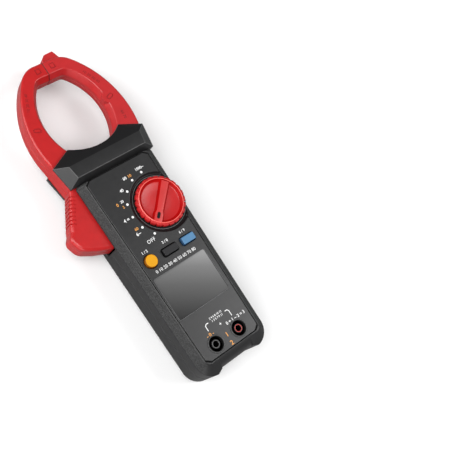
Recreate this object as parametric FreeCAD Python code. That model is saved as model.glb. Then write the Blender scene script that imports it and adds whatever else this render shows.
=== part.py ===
import FreeCAD, Part
import math
import os

V = FreeCAD.Vector

# Clamp meter lying on its back. Millimetres.
# x: across the meter, to the right seen from the front; y: towards the jaws; z: out of the face.
# Origin: on the back rest face, on the centreline.

# ---- Driving dimensions -------------------------------------------------------------------

# housing
face_level = 33.0            # face panel above the back
split_level = 19.0           # parting plane of the housing, middle plane of the jaws
wall = 2.0                   # side and back walls
roof = 1.6                   # wall under the face panel
housing_bottom = -69.7       # lower end
housing_top = 75.6           # end of the flat-topped body, where the collar groove starts
half_width_bottom = 27.8
half_width_top = 29.8
bottom_radius = 12.0         # plan radius of the lower corners
top_radius = 2.0             # plan radius of the upper corners
shoulder_drop = 4.3          # height of the sloped shoulder round the face
shoulder_width = 4.9         # its width along the sides
shoulder_end = 8.2           # its width at the lower end
shoulder_radius = 4.0        # plan radius of its inner corners at the lower end
back_drop = 6.0              # height of the sloped edge round the back
back_inset = 4.5
notch_half = 13.5            # shallow notch in the lower end
notch_mouth = 4.0            # each end of the notch slopes out by this much
notch_depth = 1.9
scoop_low = 9.0              # depth of the notch's rounded lip below the face
scoop_back = 8.7             # its reach from the lower end along the face
end_wall = 5.2               # lower end wall, thick enough for the notch
end_wall_lean = 3.2
scoop_bulge = 1.9            # depth of the lip where it is roundest

# collar
collar_edge_drop = 4.2       # collar's outer edge, below the face
collar_ridge_rise = 1.2      # collar's flat ridge, above the face
ridge_low = 79.3
ridge_high = 88.0
ridge_half_low = 26.4        # half length of the ridge's lower edge
collar_low = 75.7
collar_overhang = 2.9        # collar's lower corners beyond the body's sides
collar_flare = 2.6           # its upper corners beyond the lower ones
collar_corner = 92.5
horn_tip = 99.8
horn_half = 19.0
window_bottom = 92.7         # lowest point of the collar's concave edge
window_radius = 33.0
collar_wall = 2.0

# face panel
panel_thickness = 1.2
panel_gap = 0.5              # groove round the panel
panel_bottom = -60.0
panel_top = 74.5
panel_half_bottom = 21.8
panel_half_top = 24.0
panel_corner_x = 3.4         # corner chamfers
panel_corner_y = 2.5

# display
window_x = -0.8
window_half = 20.7
window_low = -28.8
window_high = 1.3
window_corner = 1.3
lens_thickness = 1.4
lens_sink = 0.4              # lens below the face
lens_ledge = 1.2             # bearing of the lens on the roof
lcd_margin = 0.8             # glass beyond the window on each side
glass_thickness = 1.8
backlight_thickness = 1.6
strip_width = 2.0
bezel_wall = 1.2

# circuit board
board_thickness = 1.6
board_top = 24.0
board_side_gap = 1.3         # between the board and the side walls
board_low = -60.0
board_high = 64.0
board_tongue_left = -1.8     # left edge beside the trigger's pocket
board_step = 27.0            # where the board narrows
board_chamfer = 4.0
board_widening = 0.8         # the board follows the housing's taper by this much
board_screw_r = 1.0
board_screw_head_r = 2.0
board_post_r = 2.3
buzzer_r = 4.4
buzzer_height = 4.5
buzzer_inset = 8.5           # from the board's side edge to the buzzer's middle
buzzer_margin = 5.5          # from the board's step
board_screw_length = 6.0
board_screw_places = [(-21.0, -36.0), (21.5, -36.0), (21.0, 19.5), (3.0, 60.0)]

# rotary dial
dial_x = 12.6
dial_y = 41.5
dial_radius = 16.9
dial_height = 3.9
dial_rim = 14.6              # edge of the dished face
dial_dish = 2.0              # depth of the dish
dial_lift = 0.3              # running gap under the knob
dial_bar = 4.6               # width of the grip bar
dial_flutes = 24
flute_radius = 1.5
flute_depth = 0.45
dial_rest_deg = 225.0        # pointer's direction in the OFF place
dial_step_deg = 22.5         # angle between two places
wiper_inner = 6.6            # inner radius of the first contact arm
wiper_width = 0.8
wiper_pitch = 1.4
wiper_span = 4.0
recess_radius = 20.5
recess_floor_radius = 18.2
recess_depth = 2.0
shaft_radius = 5.0
shaft_gap = 0.08
rotor_radius = 10.0
rotor_thickness = 3.6
rotor_gap = 1.0              # rotor above the board, filled by the wipers
ball_radius = 1.2
ball_hold = 0.45             # how far a ball stands out of the rotor
detent_gap = 0.15
detent_depth = 0.6
detent_outer = 12.3
pointer_length = 4.5
pointer_width = 2.0

# push buttons
button_y = 12.0
button_rise = 2.0
button_edge = 0.6            # rounding of the caps
button_gap = 0.5
button_flange = 1.0
flange_thickness = 0.8
button_stem_r = 1.6
yellow_x, yellow_r = -16.0, 4.25
grey_x, grey_length, grey_width = -0.6, 11.3, 5.0
blue_x, blue_length, blue_width = 14.0, 10.2, 5.2
dome_low_r = 3.0
dome_high_r = 2.0
dome_wall = 0.5
dome_height = 3.4

# input jacks
jack_pitch = 19.05
jack_y = -53.0
jack_well_r = 5.0
jack_well_wall = 0.9
jack_rim = 0.2               # jack's rim above the face
jack_post_r = 2.85
jack_bore_r = 2.0
jack_tube_wall = 0.45
jack_fit = 0.02
jack_floor = 19.0
jack_floor_thickness = 1.5
post_sink = 0.6              # post's end below the face
contact_sink = 1.4           # contact tube's end below the face
jack_bore_length = 15.0

# jaws
jaw_thickness = 16.0
jaw_wall = 1.8               # plastic over the core, front, back and outer side
jaw_inner_wall = 3.2         # plastic between the core and the window
jaw_top = 158.2
jaw_half_width = 36.0
jaw_outer_r = 67.0
jaw_outer_cy = 108.0         # height of the widest place
jaw_outer_corner = 15.0
opening_top = 146.6
opening_half_width = 22.0
opening_r = 40.0
opening_cy = 118.0
opening_corner = 5.0
inner_bevel_width = 2.5
inner_bevel_depth = 4.5
outer_bevel = 0.9
jaw_split = -1.0             # x of the meeting faces
jaw_meeting_gap = 0.1
jaw_exit_gap = 0.3
hook_half = 5.0              # half thickness of the tip tab
hook_rise = 5.3
hook_left, hook_right = 1.6, 15.0
mark_size = 3.8              # square alignment marks beside the split
mark_shift = 5.4             # their distance from the split
mark_drop = 4.6              # below the jaw's top
badge_length = 5.2           # oval alignment marks at the widest place
badge_width = 3.0
badge_rise = 1.0
badge_shift = 1.7            # front mark of the fixed jaw, nearer to the window
badge_tab_half = 3.8         # half length of the tab under it
badge_tab_reach = 2.4        # tab over the inner bevel
mark_line = 0.6
mark_depth = 0.35
root_left = -9.5
root_low = 77.0
root_high = 88.5
moving_foot = 7.5            # lower end of the moving band, above the pivot

# cores and windings
core_margin = 1.2            # room for the winding round the core
winding_gap = 0.2
winding_low = 101.0
winding_high = 134.0
core_fit = 0.05

# pivot, trigger and spring
pivot_x, pivot_y = -20.0, 86.0
pin_radius = 3.0
pin_gap = 0.05
pin_seat = 4.0               # pin's length in each half of the collar
hub_radius = 9.6
hub_gap = 0.4
lead_pass_left = 7.0
lead_pass_width = 8.0
lead_pass_height = 5.0
hub_wall = 1.3
trigger_step = 0.5           # trigger thinner than the jaw, on each side
trigger_round = 2.6
trigger_out = 30.6           # trigger's bulge, left of the pivot
trigger_drop = 55.0          # trigger's lower end, below the pivot
trigger_sweep = 1.0          # pocket beyond the trigger's furthest reach
rib_count = 8
rib_width = 0.9
rib_depth = 0.5
rib_length = 3.4
spring_wire = 1.0
spring_turns = 3
spring_boss_wall = 1.2
spring_room = 0.5

# fasteners
screw_places = [(-20.0, -57.0), (20.0, -57.0), (2.8, 68.6), (21.8, 68.6)]
screw_r = 1.3
screw_head_r = 2.6
screw_head_height = 2.0
screw_sink = 3.0
screw_length = 20.0
boss_r = 3.6
boss_pilot_r = 1.32

# batteries
cell_r = 5.2
cell_length = 44.5
cell_gap = 0.6               # between the two cells and to the tray
cells_low = -48.0
contact_plate = 0.4
contact_spring_length = 3.0
tray_wall = 1.2
tray_height = 12.0
door_margin = 4.0            # door beyond the tray
door_thickness = 1.8
door_gap = 0.2
door_tongue = 5.0            # lower end of the door that takes its screw

# ---- Derived sizes ------------------------------------------------------------------------

collar_low_half = half_width_top + collar_overhang
collar_corner_half = collar_low_half + collar_flare
jaw_outer_cx = jaw_outer_r - jaw_half_width
opening_cx = opening_r - opening_half_width
edge_level = face_level - shoulder_drop
ceiling = face_level - panel_thickness - roof
collar_edge = face_level - collar_edge_drop
ridge_level = face_level + collar_ridge_rise
side_slope = (collar_corner_half - collar_low_half) / (collar_corner - collar_low)
root_foot = root_low + collar_wall * 0.5 + jaw_exit_gap
ridge_half_high = ridge_half_low + side_slope * (ridge_high - ridge_low)
window_centre = window_bottom + window_radius
jaw_front = split_level + jaw_thickness / 2
jaw_back = split_level - jaw_thickness / 2
slot_front = jaw_front + jaw_exit_gap
slot_back = jaw_back - jaw_exit_gap
trigger_front = jaw_front - trigger_step
board_bottom = board_top - board_thickness
board_half = half_width_bottom - wall - board_side_gap
recess_floor = face_level - recess_depth
dial_ceiling = recess_floor - roof
dial_bottom = recess_floor + dial_lift
dial_top = dial_bottom + dial_height
rotor_bottom = board_top + rotor_gap
rotor_top = rotor_bottom + rotor_thickness
flange_top = ceiling
button_bottom = board_top + dome_height
jack_places = (-jack_pitch / 2, jack_pitch / 2)
spring_inner = pin_radius + pin_gap + spring_boss_wall + spring_room
spring_outer = spring_inner + spring_wire
spring_pocket = spring_turns * spring_wire + spring_room
cell_level = wall + cell_gap / 2 + cell_r
cells_high = cells_low + cell_length
tray_half = 2 * cell_r + cell_gap * 1.5 + tray_wall
tray_low = cells_low - contact_plate - contact_spring_length - tray_wall
tray_high = cells_high + contact_plate + tray_wall
door_half = tray_half + door_margin - tray_wall
door_low = tray_low - door_tongue
door_high = tray_high + door_margin


# ---- Shape helpers ------------------------------------------------------------------------

# closed wire through (x, y, corner radius) points
def rounded(points, z=0.0):
    corners = []
    count = len(points)
    for i in range(count):
        here = V(points[i][0], points[i][1], z)
        radius = points[i][2] if len(points[i]) > 2 else 0.0
        if radius <= 0:
            corners.append((here, None, here))
            continue
        back = V(points[i - 1][0], points[i - 1][1], z) - here
        ahead = V(points[(i + 1) % count][0], points[(i + 1) % count][1], z) - here
        back.normalize()
        ahead.normalize()
        half = back.getAngle(ahead) / 2
        middle = (back + ahead).normalize()
        centre = here + middle * (radius / math.sin(half))
        reach = radius / math.tan(half)
        corners.append((here + back * reach, centre - middle * radius, here + ahead * reach))
    edges = []
    for i in range(count):
        start, middle, end = corners[i]
        if middle is not None:
            edges.append(Part.Arc(start, middle, end).toShape())
        following = corners[(i + 1) % count][0]
        if end.distanceToPoint(following) > 1e-6:
            edges.append(Part.makeLine(end, following))
    return Part.Wire(edges)


def prism(wire, low, high):
    flat = wire.copy()
    flat.translate(V(0, 0, low - wire.BoundBox.ZMin))
    return Part.Face(flat).extrude(V(0, 0, high - low))


def block(x0, x1, y0, y1, z0, z1):
    return Part.makeBox(x1 - x0, y1 - y0, z1 - z0, V(x0, y0, z0))


def rod(x, y, radius, z0, z1):
    return Part.makeCylinder(radius, z1 - z0, V(x, y, z0))


def tube(x, y, inner, outer, z0, z1):
    return rod(x, y, outer, z0, z1).cut(rod(x, y, inner, z0, z1))


def loft(low_wire, high_wire):
    return Part.makeLoft([low_wire, high_wire], True, True)


# solid with flat faces, given as lists of corner points
def polyhedron(faces):
    shell = Part.Shell([Part.Face(Part.makePolygon(f + [f[0]])) for f in faces])
    solid = Part.Solid(shell)
    return solid if solid.Volume > 0 else Part.Solid(shell.reversed())


def turned(shape, x, y, degrees):
    out = shape.copy()
    out.rotate(V(x, y, 0), V(0, 0, 1), degrees)
    return out


def flipped(shape):
    return shape.mirror(V(0, 0, split_level), V(0, 0, 1))


def joined(shapes):
    return shapes[0].multiFuse(shapes[1:]).removeSplitter() if len(shapes) > 1 else shapes[0]


# ---- Housing ------------------------------------------------------------------------------

# plan of the body, set in at the sides, the lower end and the top
def body_plan(z, side, end, top, low_r, top_r=top_radius):
    low = housing_bottom + end
    high = housing_top - top
    wide_low = half_width_bottom - side
    wide_high = half_width_top - side
    return rounded([(-wide_low, low, low_r), (wide_low, low, low_r),
                    (wide_high, high, top_r), (-wide_high, high, top_r)], z)


def body_front():
    straight = prism(body_plan(split_level, 0, 0, 0, bottom_radius), split_level, edge_level)
    shoulder = loft(body_plan(edge_level, 0, 0, 0, bottom_radius),
                    body_plan(face_level, shoulder_width, shoulder_end, panel_gap, shoulder_radius))
    return straight.fuse(shoulder)


def body_cavity_front():
    bend = edge_level - wall / 2
    side = wall + shoulder_width / shoulder_drop * (ceiling - bend)
    corner = bottom_radius - end_wall
    straight = prism(body_plan(split_level, wall, end_wall, wall, corner), split_level, bend)
    upper = loft(body_plan(bend, wall, end_wall, wall, corner),
                 body_plan(ceiling, side, end_wall + end_wall_lean, wall + 0.4, corner))
    return straight.fuse(upper)


def body_rear():
    straight = prism(body_plan(back_drop, 0, 0, 0, bottom_radius), back_drop, split_level)
    inset = back_inset
    edge = loft(body_plan(0, inset, inset, inset, bottom_radius - inset),
                body_plan(back_drop, 0, 0, 0, bottom_radius))
    return straight.fuse(edge)


def body_cavity_rear():
    bend = back_drop + wall / 2
    inset = wall + back_inset
    corner = bottom_radius - end_wall
    straight = prism(body_plan(bend, wall, end_wall, wall, corner), bend, split_level)
    lower = loft(body_plan(wall, inset, end_wall + back_inset, inset, corner),
                 body_plan(bend, wall, end_wall, wall, corner))
    return straight.fuse(lower)


def collar_plan(z, inset=0.0):
    low = collar_low + inset
    corner = collar_corner - inset * 0.4
    tip = horn_tip - inset
    return rounded([(-collar_low_half + inset, low), (collar_low_half - inset, low),
                    (collar_corner_half - inset, corner), (horn_half - inset * 0.4, tip),
                    (-horn_half + inset * 0.4, tip), (-collar_corner_half + inset, corner)], z)


# sloped cap that carries the ridge
def collar_cap():
    def low(x, y):
        return V(x, y, collar_edge)

    def high(x, y):
        return V(x, y, ridge_level)

    a1, a2 = high(ridge_half_high, ridge_high), high(ridge_half_low, ridge_low)
    a3, a4 = high(-ridge_half_low, ridge_low), high(-ridge_half_high, ridge_high)
    b1, b2 = low(collar_corner_half, collar_corner), low(collar_low_half, collar_low)
    b3, b4 = low(-collar_low_half, collar_low), low(-collar_corner_half, collar_corner)
    h1, h2 = low(horn_half, horn_tip), low(-horn_half, horn_tip)
    return polyhedron([[a1, a2, a3, a4], [b1, b2, b3, b4, h2, h1], [a1, a2, b2, b1], [a3, a4, b4, b3],
                       [a2, a3, b3, b2], [a1, b1, h1], [a4, b4, h2], [a1, h1, h2, a4]])


def window_cut():
    return rod(0, window_centre, window_radius, -1, ridge_level + 1)


def collar_front():
    solid = prism(collar_plan(split_level), split_level, collar_edge).fuse(collar_cap())
    return solid.cut(window_cut())


# room for the jaw roots, between the faces of both shells, open on the moving jaw's side
def collar_cavity():
    room = prism(collar_plan(slot_back, collar_wall), slot_back, slot_front)
    room = room.cut(rod(0, window_centre, window_radius + collar_wall, slot_back - 1, slot_front + 1))
    side = block(-collar_corner_half - 1, pivot_x + 4, root_low - collar_wall, horn_tip + 1,
                 slot_back, slot_front)
    hub = rod(pivot_x, pivot_y, hub_radius + hub_gap, slot_back, slot_front)
    arm = jaw_band(slot_back, slot_front, -jaw_exit_gap, -jaw_exit_gap)
    arm = arm.common(block(-collar_corner_half - 5, 0, pivot_y + 5, jaw_top, slot_back, slot_front))
    return room.multiFuse([side, hub, arm])


# way through for the leads of both windings
def lead_pass():
    return block(lead_pass_left, lead_pass_left + lead_pass_width, housing_top - wall - 1,
                 root_low + collar_wall * 0.5 + 0.5, split_level - lead_pass_height / 2,
                 split_level + lead_pass_height / 2)


# path of the moving jaw's lower arm and trigger through the left wall
def trigger_pocket():
    reach = trigger_reach() + trigger_sweep
    disc = rod(pivot_x, pivot_y, reach, slot_back, slot_front)
    return disc.common(block(pivot_x - 2 * reach, board_tongue_left - 0.4, housing_bottom,
                             root_low + collar_wall, slot_back, slot_front))


def fixed_jaw_exit():
    band = jaw_band(slot_back, slot_front, -jaw_exit_gap, -jaw_exit_gap)
    side = window_radius * 0.37
    return band.common(block(side, collar_corner_half + 5, root_high - 4, jaw_top, slot_back, slot_front))


def spring_pocket_cut():
    return tube(pivot_x, pivot_y, pin_radius + pin_gap + spring_boss_wall,
                spring_outer + spring_room, slot_front - 0.5, slot_front + spring_pocket)


def pin_seat_cut():
    return rod(pivot_x, pivot_y, pin_radius + pin_gap, slot_back - pin_seat, slot_front + pin_seat)


def panel_plan(z, grow=0.0):
    low, high = panel_bottom - grow, panel_top + grow
    wide_low, wide_high = panel_half_bottom + grow, panel_half_top + grow
    cut = grow * 0.5
    return rounded([(-wide_low + panel_corner_x - cut, low), (wide_low - panel_corner_x + cut, low),
                    (wide_low, low + panel_corner_y - cut), (wide_high, high - panel_corner_y + cut),
                    (wide_high - panel_corner_x + cut, high), (-wide_high + panel_corner_x - cut, high),
                    (-wide_high, high - panel_corner_y + cut), (-wide_low, low + panel_corner_y - cut)], z)


def window_plan(z, grow=0.0):
    x0, x1 = window_x - window_half - grow, window_x + window_half + grow
    y0, y1 = window_low - grow, window_high + grow
    r = window_corner + grow
    return rounded([(x0, y0, r), (x1, y0, r), (x1, y1, r), (x0, y1, r)], z)


def dial_recess():
    return Part.makeCone(recess_floor_radius, recess_radius, recess_depth + 0.01,
                         V(dial_x, dial_y, recess_floor))


def button_plan(name, z, grow=0.0):
    if name == "yellow":
        circle = Part.Circle(V(yellow_x, button_y, z), V(0, 0, 1), yellow_r + grow)
        return Part.Wire([circle.toShape()])
    x, length, width = {"grey": (grey_x, grey_length, grey_width),
                        "blue": (blue_x, blue_length, blue_width)}[name]
    a, b, r = length / 2 + grow, width / 2 + grow, 1.0 + grow
    return rounded([(x - a, button_y - b, r), (x + a, button_y - b, r),
                    (x + a, button_y + b, r), (x - a, button_y + b, r)], z)


def face_openings(low, high):
    holes = [prism(button_plan(name, low, button_gap), low, high) for name in ("yellow", "grey", "blue")]
    jack_hole = jack_well_r + jack_well_wall + jack_fit
    holes += [rod(x, jack_y, jack_hole, low, high) for x in jack_places]
    return holes


def end_notch():
    low = housing_bottom - 1
    deep = housing_bottom + notch_depth
    far = housing_bottom + scoop_back
    mouth = notch_half + notch_mouth * (deep - low) / notch_depth
    plan = prism(rounded([(-mouth, low), (mouth, low), (notch_half, deep), (notch_half, far),
                          (-notch_half, far), (-notch_half, deep)]), -1, face_level + 1)
    lip = Part.Wire([Part.Arc(V(0, far, face_level), V(0, deep + scoop_bulge, face_level - scoop_low * 0.4),
                              V(0, deep, face_level - scoop_low)).toShape(),
                     Part.makePolygon([V(0, deep, face_level - scoop_low), V(0, deep, -1), V(0, low, -1),
                                       V(0, low, face_level + 1), V(0, far, face_level + 1),
                                       V(0, far, face_level)])])
    profile = Part.Face(lip).extrude(V(2 * half_width_bottom, 0, 0))
    profile.translate(V(-half_width_bottom, 0, 0))
    return profile.common(plan)


def front_shell():
    bridge = block(-collar_low_half + 6, collar_low_half - 6, housing_top - wall,
                   collar_low + collar_wall, split_level, collar_edge)
    outer = body_front().multiFuse([collar_front(), bridge]).cut(end_notch())
    shell = outer.cut(body_cavity_front())
    dial_pad = rod(dial_x, dial_y, recess_floor_radius + roof, dial_ceiling, ceiling).common(outer)
    bosses = [rod(x, y, boss_r, split_level, ceiling) for x, y in screw_places]
    posts = [rod(x, y, board_post_r, board_top, ceiling) for x, y in board_screw_places]
    shell = shell.multiFuse([dial_pad] + bosses + posts)
    cuts = [collar_cavity(), trigger_pocket(), fixed_jaw_exit(), spring_pocket_cut(), pin_seat_cut(),
            lead_pass(),
            prism(panel_plan(face_level - panel_thickness, panel_gap),
                  face_level - panel_thickness, face_level + 0.5),
            dial_recess(),
            rod(dial_x, dial_y, shaft_radius + shaft_gap, dial_ceiling - 1, face_level),
            prism(window_plan(0, lens_ledge * -1.0), ceiling - 1, face_level),
            prism(window_plan(0, 0.0), face_level - lens_sink - lens_thickness, face_level)]
    cuts += face_openings(ceiling - 1, face_level)
    cuts += [rod(x, y, boss_pilot_r, split_level, split_level + screw_length - wall)
             for x, y in screw_places]
    cuts += [rod(x, y, board_screw_r + core_fit, board_top, board_top + board_screw_length - wall)
             for x, y in board_screw_places]
    return shell.cut(cuts)


def rear_shell():
    low = 2 * split_level - collar_edge
    bridge = block(-collar_low_half + 6, collar_low_half - 6, housing_top - wall,
                   collar_low + collar_wall, low, split_level)
    outer = body_rear().multiFuse([flipped(collar_front()), bridge]).cut(end_notch())
    shell = outer.cut(body_cavity_rear())
    bosses = [rod(x, y, boss_r, wall, split_level) for x, y in screw_places]
    tray = block(-tray_half, tray_half, tray_low, tray_high, wall / 2, wall + tray_height)
    tray = tray.cut(block(-tray_half + tray_wall, tray_half - tray_wall, tray_low + tray_wall,
                          tray_high - tray_wall, 0, wall + tray_height + 1))
    door_boss = rod(0, door_low + door_tongue / 2, boss_r - 0.6, wall / 2, wall + 6.0)
    shell = shell.multiFuse(bosses + [tray, door_boss])
    cuts = [collar_cavity(), trigger_pocket(), fixed_jaw_exit(), pin_seat_cut(), lead_pass()]
    cuts += [rod(x, y, screw_r + 0.2, -1, split_level + 1) for x, y in screw_places]
    cuts += [rod(x, y, screw_head_r + 0.3, -1, screw_sink + screw_head_height) for x, y in screw_places]
    cuts += [block(-door_half - door_gap, door_half + door_gap, door_low - door_gap,
                   door_high + door_gap, -1, door_thickness),
             block(-tray_half + tray_wall, tray_half - tray_wall, tray_low + tray_wall,
                   tray_high - tray_wall, 0, wall + 1),
             rod(0, door_low + door_tongue / 2, screw_r * 0.8, door_thickness, wall + 5.0)]
    return shell.cut(cuts)


def face_panel():
    plate = prism(panel_plan(0), face_level - panel_thickness, face_level)
    cuts = [dial_recess(), prism(window_plan(0), face_level - panel_thickness - 1, face_level + 1)]
    cuts += face_openings(face_level - panel_thickness - 1, face_level + 1)
    return plate.cut(cuts)


def display_window():
    top = face_level - lens_sink
    return prism(window_plan(0, -0.1), top - lens_thickness, top)


# ---- Display stack ------------------------------------------------------------------------

def lcd_span():
    half = window_half + lcd_margin - lens_ledge
    return (window_x - half, window_x + half, window_low - lcd_margin + lens_ledge,
            window_high + lcd_margin - lens_ledge)


def lcd_glass():
    x0, x1, y0, y1 = lcd_span()
    top = ceiling - 0.1
    return block(x0, x1, y0, y1, top - glass_thickness, top)


def lcd_bezel():
    x0, x1, y0, y1 = lcd_span()
    gap = 0.1
    outer = block(x0 - gap - bezel_wall, x1 + gap + bezel_wall, y0 - gap - bezel_wall,
                  y1 + gap + bezel_wall, board_top, ceiling - gap)
    return outer.cut(block(x0 - gap, x1 + gap, y0 - gap, y1 + gap, board_top - 1, ceiling))


def backlight_panel():
    x0, x1, y0, y1 = lcd_span()
    top = ceiling - 0.1 - glass_thickness
    side = strip_width + 0.4
    return block(x0 + 1, x1 - 1, y0 + side, y1 - side, top - backlight_thickness, top)


def lcd_strips():
    x0, x1, y0, y1 = lcd_span()
    top = ceiling - 0.1 - glass_thickness
    low = block(x0 + 1, x1 - 1, y0, y0 + strip_width, board_top, top)
    high = block(x0 + 1, x1 - 1, y1 - strip_width, y1, board_top, top)
    return Part.Compound([low, high])


# ---- Circuit board and what it carries ----------------------------------------------------

def main_board():
    c = board_chamfer
    wide = board_half + board_widening
    outline = rounded([(-board_half + c, board_low), (board_half - c, board_low),
                       (board_half, board_low + c), (wide, board_high - c), (wide - c, board_high),
                       (board_tongue_left, board_high), (board_tongue_left, board_step),
                       (-board_half, board_step), (-board_half, board_low + c)])
    board = prism(outline, board_bottom, board_top)
    holes = [rod(x, y, boss_r + 0.3, board_bottom - 1, board_top + 1) for x, y in screw_places]
    holes += [rod(x, y, board_screw_r + 0.1, board_bottom - 1, board_top + 1)
              for x, y in board_screw_places]
    well = jack_well_r + jack_well_wall + 0.15
    holes += [rod(x, jack_y, well, board_bottom - 1, board_top + 1) for x in jack_places]
    return board.cut(holes)


def board_screws():
    screws = []
    for x, y in board_screw_places:
        head = rod(x, y, board_screw_head_r, board_bottom - 1.4, board_bottom)
        shank = rod(x, y, board_screw_r, board_bottom, board_bottom + board_screw_length - 1.0)
        slot = block(x - 0.25, x + 0.25, y - board_screw_head_r, y + board_screw_head_r,
                     board_bottom - 1.5, board_bottom - 0.9)
        screws.append(head.fuse(shank).cut(slot))
    return Part.Compound(screws)


def main_chip():
    side, thick, pin = 5.5, 1.6, 0.35
    body = block(-side, side, -12 - side, -12 + side, board_bottom - thick, board_bottom - 0.1)
    legs = []
    for i in range(-5, 6):
        shift = i * 0.9
        legs.append(block(-side - 1, side + 1, -12 + shift - pin / 2, -12 + shift + pin / 2,
                          board_bottom - 0.4, board_bottom))
        legs.append(block(shift - pin / 2, shift + pin / 2, -12 - side - 1, -12 + side + 1,
                          board_bottom - 0.4, board_bottom))
    return body.multiFuse(legs)


def buzzer():
    x, y = -board_half + buzzer_inset, board_step - buzzer_margin
    can = rod(x, y, buzzer_r, board_top, board_top + buzzer_height)
    return can.cut(rod(x, y, 0.8, board_top + 2, board_top + buzzer_height + 1))


# ---- Rotary dial --------------------------------------------------------------------------

def dial_knob():
    skirt_top = dial_bottom + dial_height * 0.55
    lower = rod(dial_x, dial_y, dial_radius, dial_bottom, skirt_top)
    upper = Part.makeCone(dial_radius, dial_rim + 0.9, dial_top - skirt_top, V(dial_x, dial_y, skirt_top))
    knob = lower.fuse(upper)
    flutes = []
    for i in range(dial_flutes):
        angle = 2 * math.pi * i / dial_flutes
        reach = dial_radius + flute_radius - flute_depth
        flutes.append(rod(dial_x + reach * math.cos(angle), dial_y + reach * math.sin(angle),
                          flute_radius, dial_bottom - 1, dial_top + 1))
    dish_r = (dial_rim ** 2 + dial_dish ** 2) / (2 * dial_dish)
    dish = Part.makeSphere(dish_r, V(dial_x, dial_y, dial_top + dish_r - dial_dish))
    hollow = rod(dial_x, dial_y, dial_radius - 1.6, dial_bottom - 1, dial_bottom + 0.6)
    knob = knob.cut(flutes + [dish, hollow])
    half = dial_bar / 2
    wide = half + 0.9
    bar = prism(rounded([(-dial_rim, -half), (dial_rim - 7.5, -half), (dial_rim - 5.5, -wide),
                         (dial_rim, -wide), (dial_rim, wide), (dial_rim - 5.5, wide),
                         (dial_rim - 7.5, half), (-dial_rim, half)]), 0, dial_top - 0.2 - dial_bottom - 1)
    bar.translate(V(dial_x, dial_y, dial_bottom + 1))
    bar = bar.common(rod(dial_x, dial_y, dial_rim, dial_bottom, dial_top))
    shaft = rod(dial_x, dial_y, shaft_radius, rotor_bottom + 0.4, dial_bottom + 1.2)
    knob = knob.multiFuse([turned(bar, dial_x, dial_y, dial_rest_deg), shaft])
    return knob.cut(pointer_solid(0.02))


def pointer_solid(gap=0.0):
    half = pointer_width / 2 + gap
    start = dial_rim - 1.2 - pointer_length
    slot = block(start - gap, start + pointer_length + gap, -half, half,
                 dial_top - 0.9 - gap, dial_top - 0.2)
    slot.translate(V(dial_x, dial_y, 0))
    return turned(slot, dial_x, dial_y, dial_rest_deg)


def detent_angles():
    return (dial_rest_deg, dial_rest_deg + 180.0)


# radial bore or what sits in it, along one detent direction
def radial(radius, start, end, degrees):
    level = (rotor_bottom + rotor_top) / 2
    piece = Part.makeCylinder(radius, end - start, V(start, 0, 0), V(1, 0, 0))
    piece.rotate(V(0, 0, 0), V(0, 0, 1), degrees)
    piece.translate(V(dial_x, dial_y, level))
    return piece


def dial_rotor():
    disc = rod(dial_x, dial_y, rotor_radius, rotor_bottom, rotor_top)
    bore = rod(dial_x, dial_y, shaft_radius + 0.02, rotor_bottom + 0.4, rotor_top + 1)
    holes = [radial(ball_radius + 0.05, shaft_radius + 1.0, rotor_radius + 1, a) for a in detent_angles()]
    return disc.cut([bore] + holes)


def dial_wipers():
    pieces = []
    for i in range(3):
        inner = wiper_inner + i * wiper_pitch
        arm = tube(dial_x, dial_y, inner, inner + wiper_width, board_top + 0.1, rotor_bottom)
        sector = block(dial_x, dial_x + rotor_radius, dial_y - wiper_span / 2, dial_y + wiper_span / 2,
                       board_top, rotor_bottom)
        pieces.append(turned(arm.common(sector), dial_x, dial_y, 120.0 * i))
    return Part.Compound(pieces)


def detent_ring():
    lobe = rotor_radius + ball_hold + detent_gap
    ring = tube(dial_x, dial_y, lobe, detent_outer, rotor_bottom + 0.2, dial_ceiling)
    level = (rotor_bottom + rotor_top) / 2
    cuts = []
    places = int(round(360.0 / dial_step_deg))
    for i in range(places):
        angle = math.radians(dial_rest_deg + i * dial_step_deg)
        reach = lobe + detent_depth - ball_radius - 0.2
        cuts.append(rod(dial_x + reach * math.cos(angle), dial_y + reach * math.sin(angle),
                        ball_radius + 0.2, rotor_bottom, level + ball_radius + 0.4))
    return ring.cut(cuts)


def detent_balls():
    level = (rotor_bottom + rotor_top) / 2
    reach = rotor_radius + ball_hold - ball_radius
    balls = []
    for degrees in detent_angles():
        angle = math.radians(degrees)
        centre = V(dial_x + reach * math.cos(angle), dial_y + reach * math.sin(angle), level)
        balls.append(Part.makeSphere(ball_radius, centre))
    return Part.Compound(balls)


def detent_springs():
    start = shaft_radius + 1.05
    end = rotor_radius + ball_hold - 2 * ball_radius - 0.05
    turns = 5
    wire = (end - start) / turns / 2
    springs = []
    for degrees in detent_angles():
        rings = [radial(ball_radius - 0.1, start + 2 * wire * i, start + 2 * wire * i + wire * 1.1, degrees)
                 for i in range(turns)]
        core = radial(ball_radius - 0.35, start, end, degrees)
        springs.append(joined(rings + [core]).cut(radial(ball_radius - 0.55, start - 1, end + 1, degrees)))
    return Part.Compound(springs)


# ---- Push buttons -------------------------------------------------------------------------

def push_button(name):
    x = {"yellow": yellow_x, "grey": grey_x, "blue": blue_x}[name]
    top = face_level + button_rise
    cap = prism(button_plan(name, 0), flange_top - flange_thickness, top)
    rim = [e for e in cap.Edges if e.BoundBox.ZMin > top - 0.01]
    cap = cap.makeFillet(button_edge, rim)
    flange = prism(button_plan(name, 0, button_flange), flange_top - flange_thickness, flange_top)
    stem = rod(x, button_y, button_stem_r, button_bottom, flange_top - flange_thickness / 2)
    return joined([cap, flange, stem])


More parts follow.
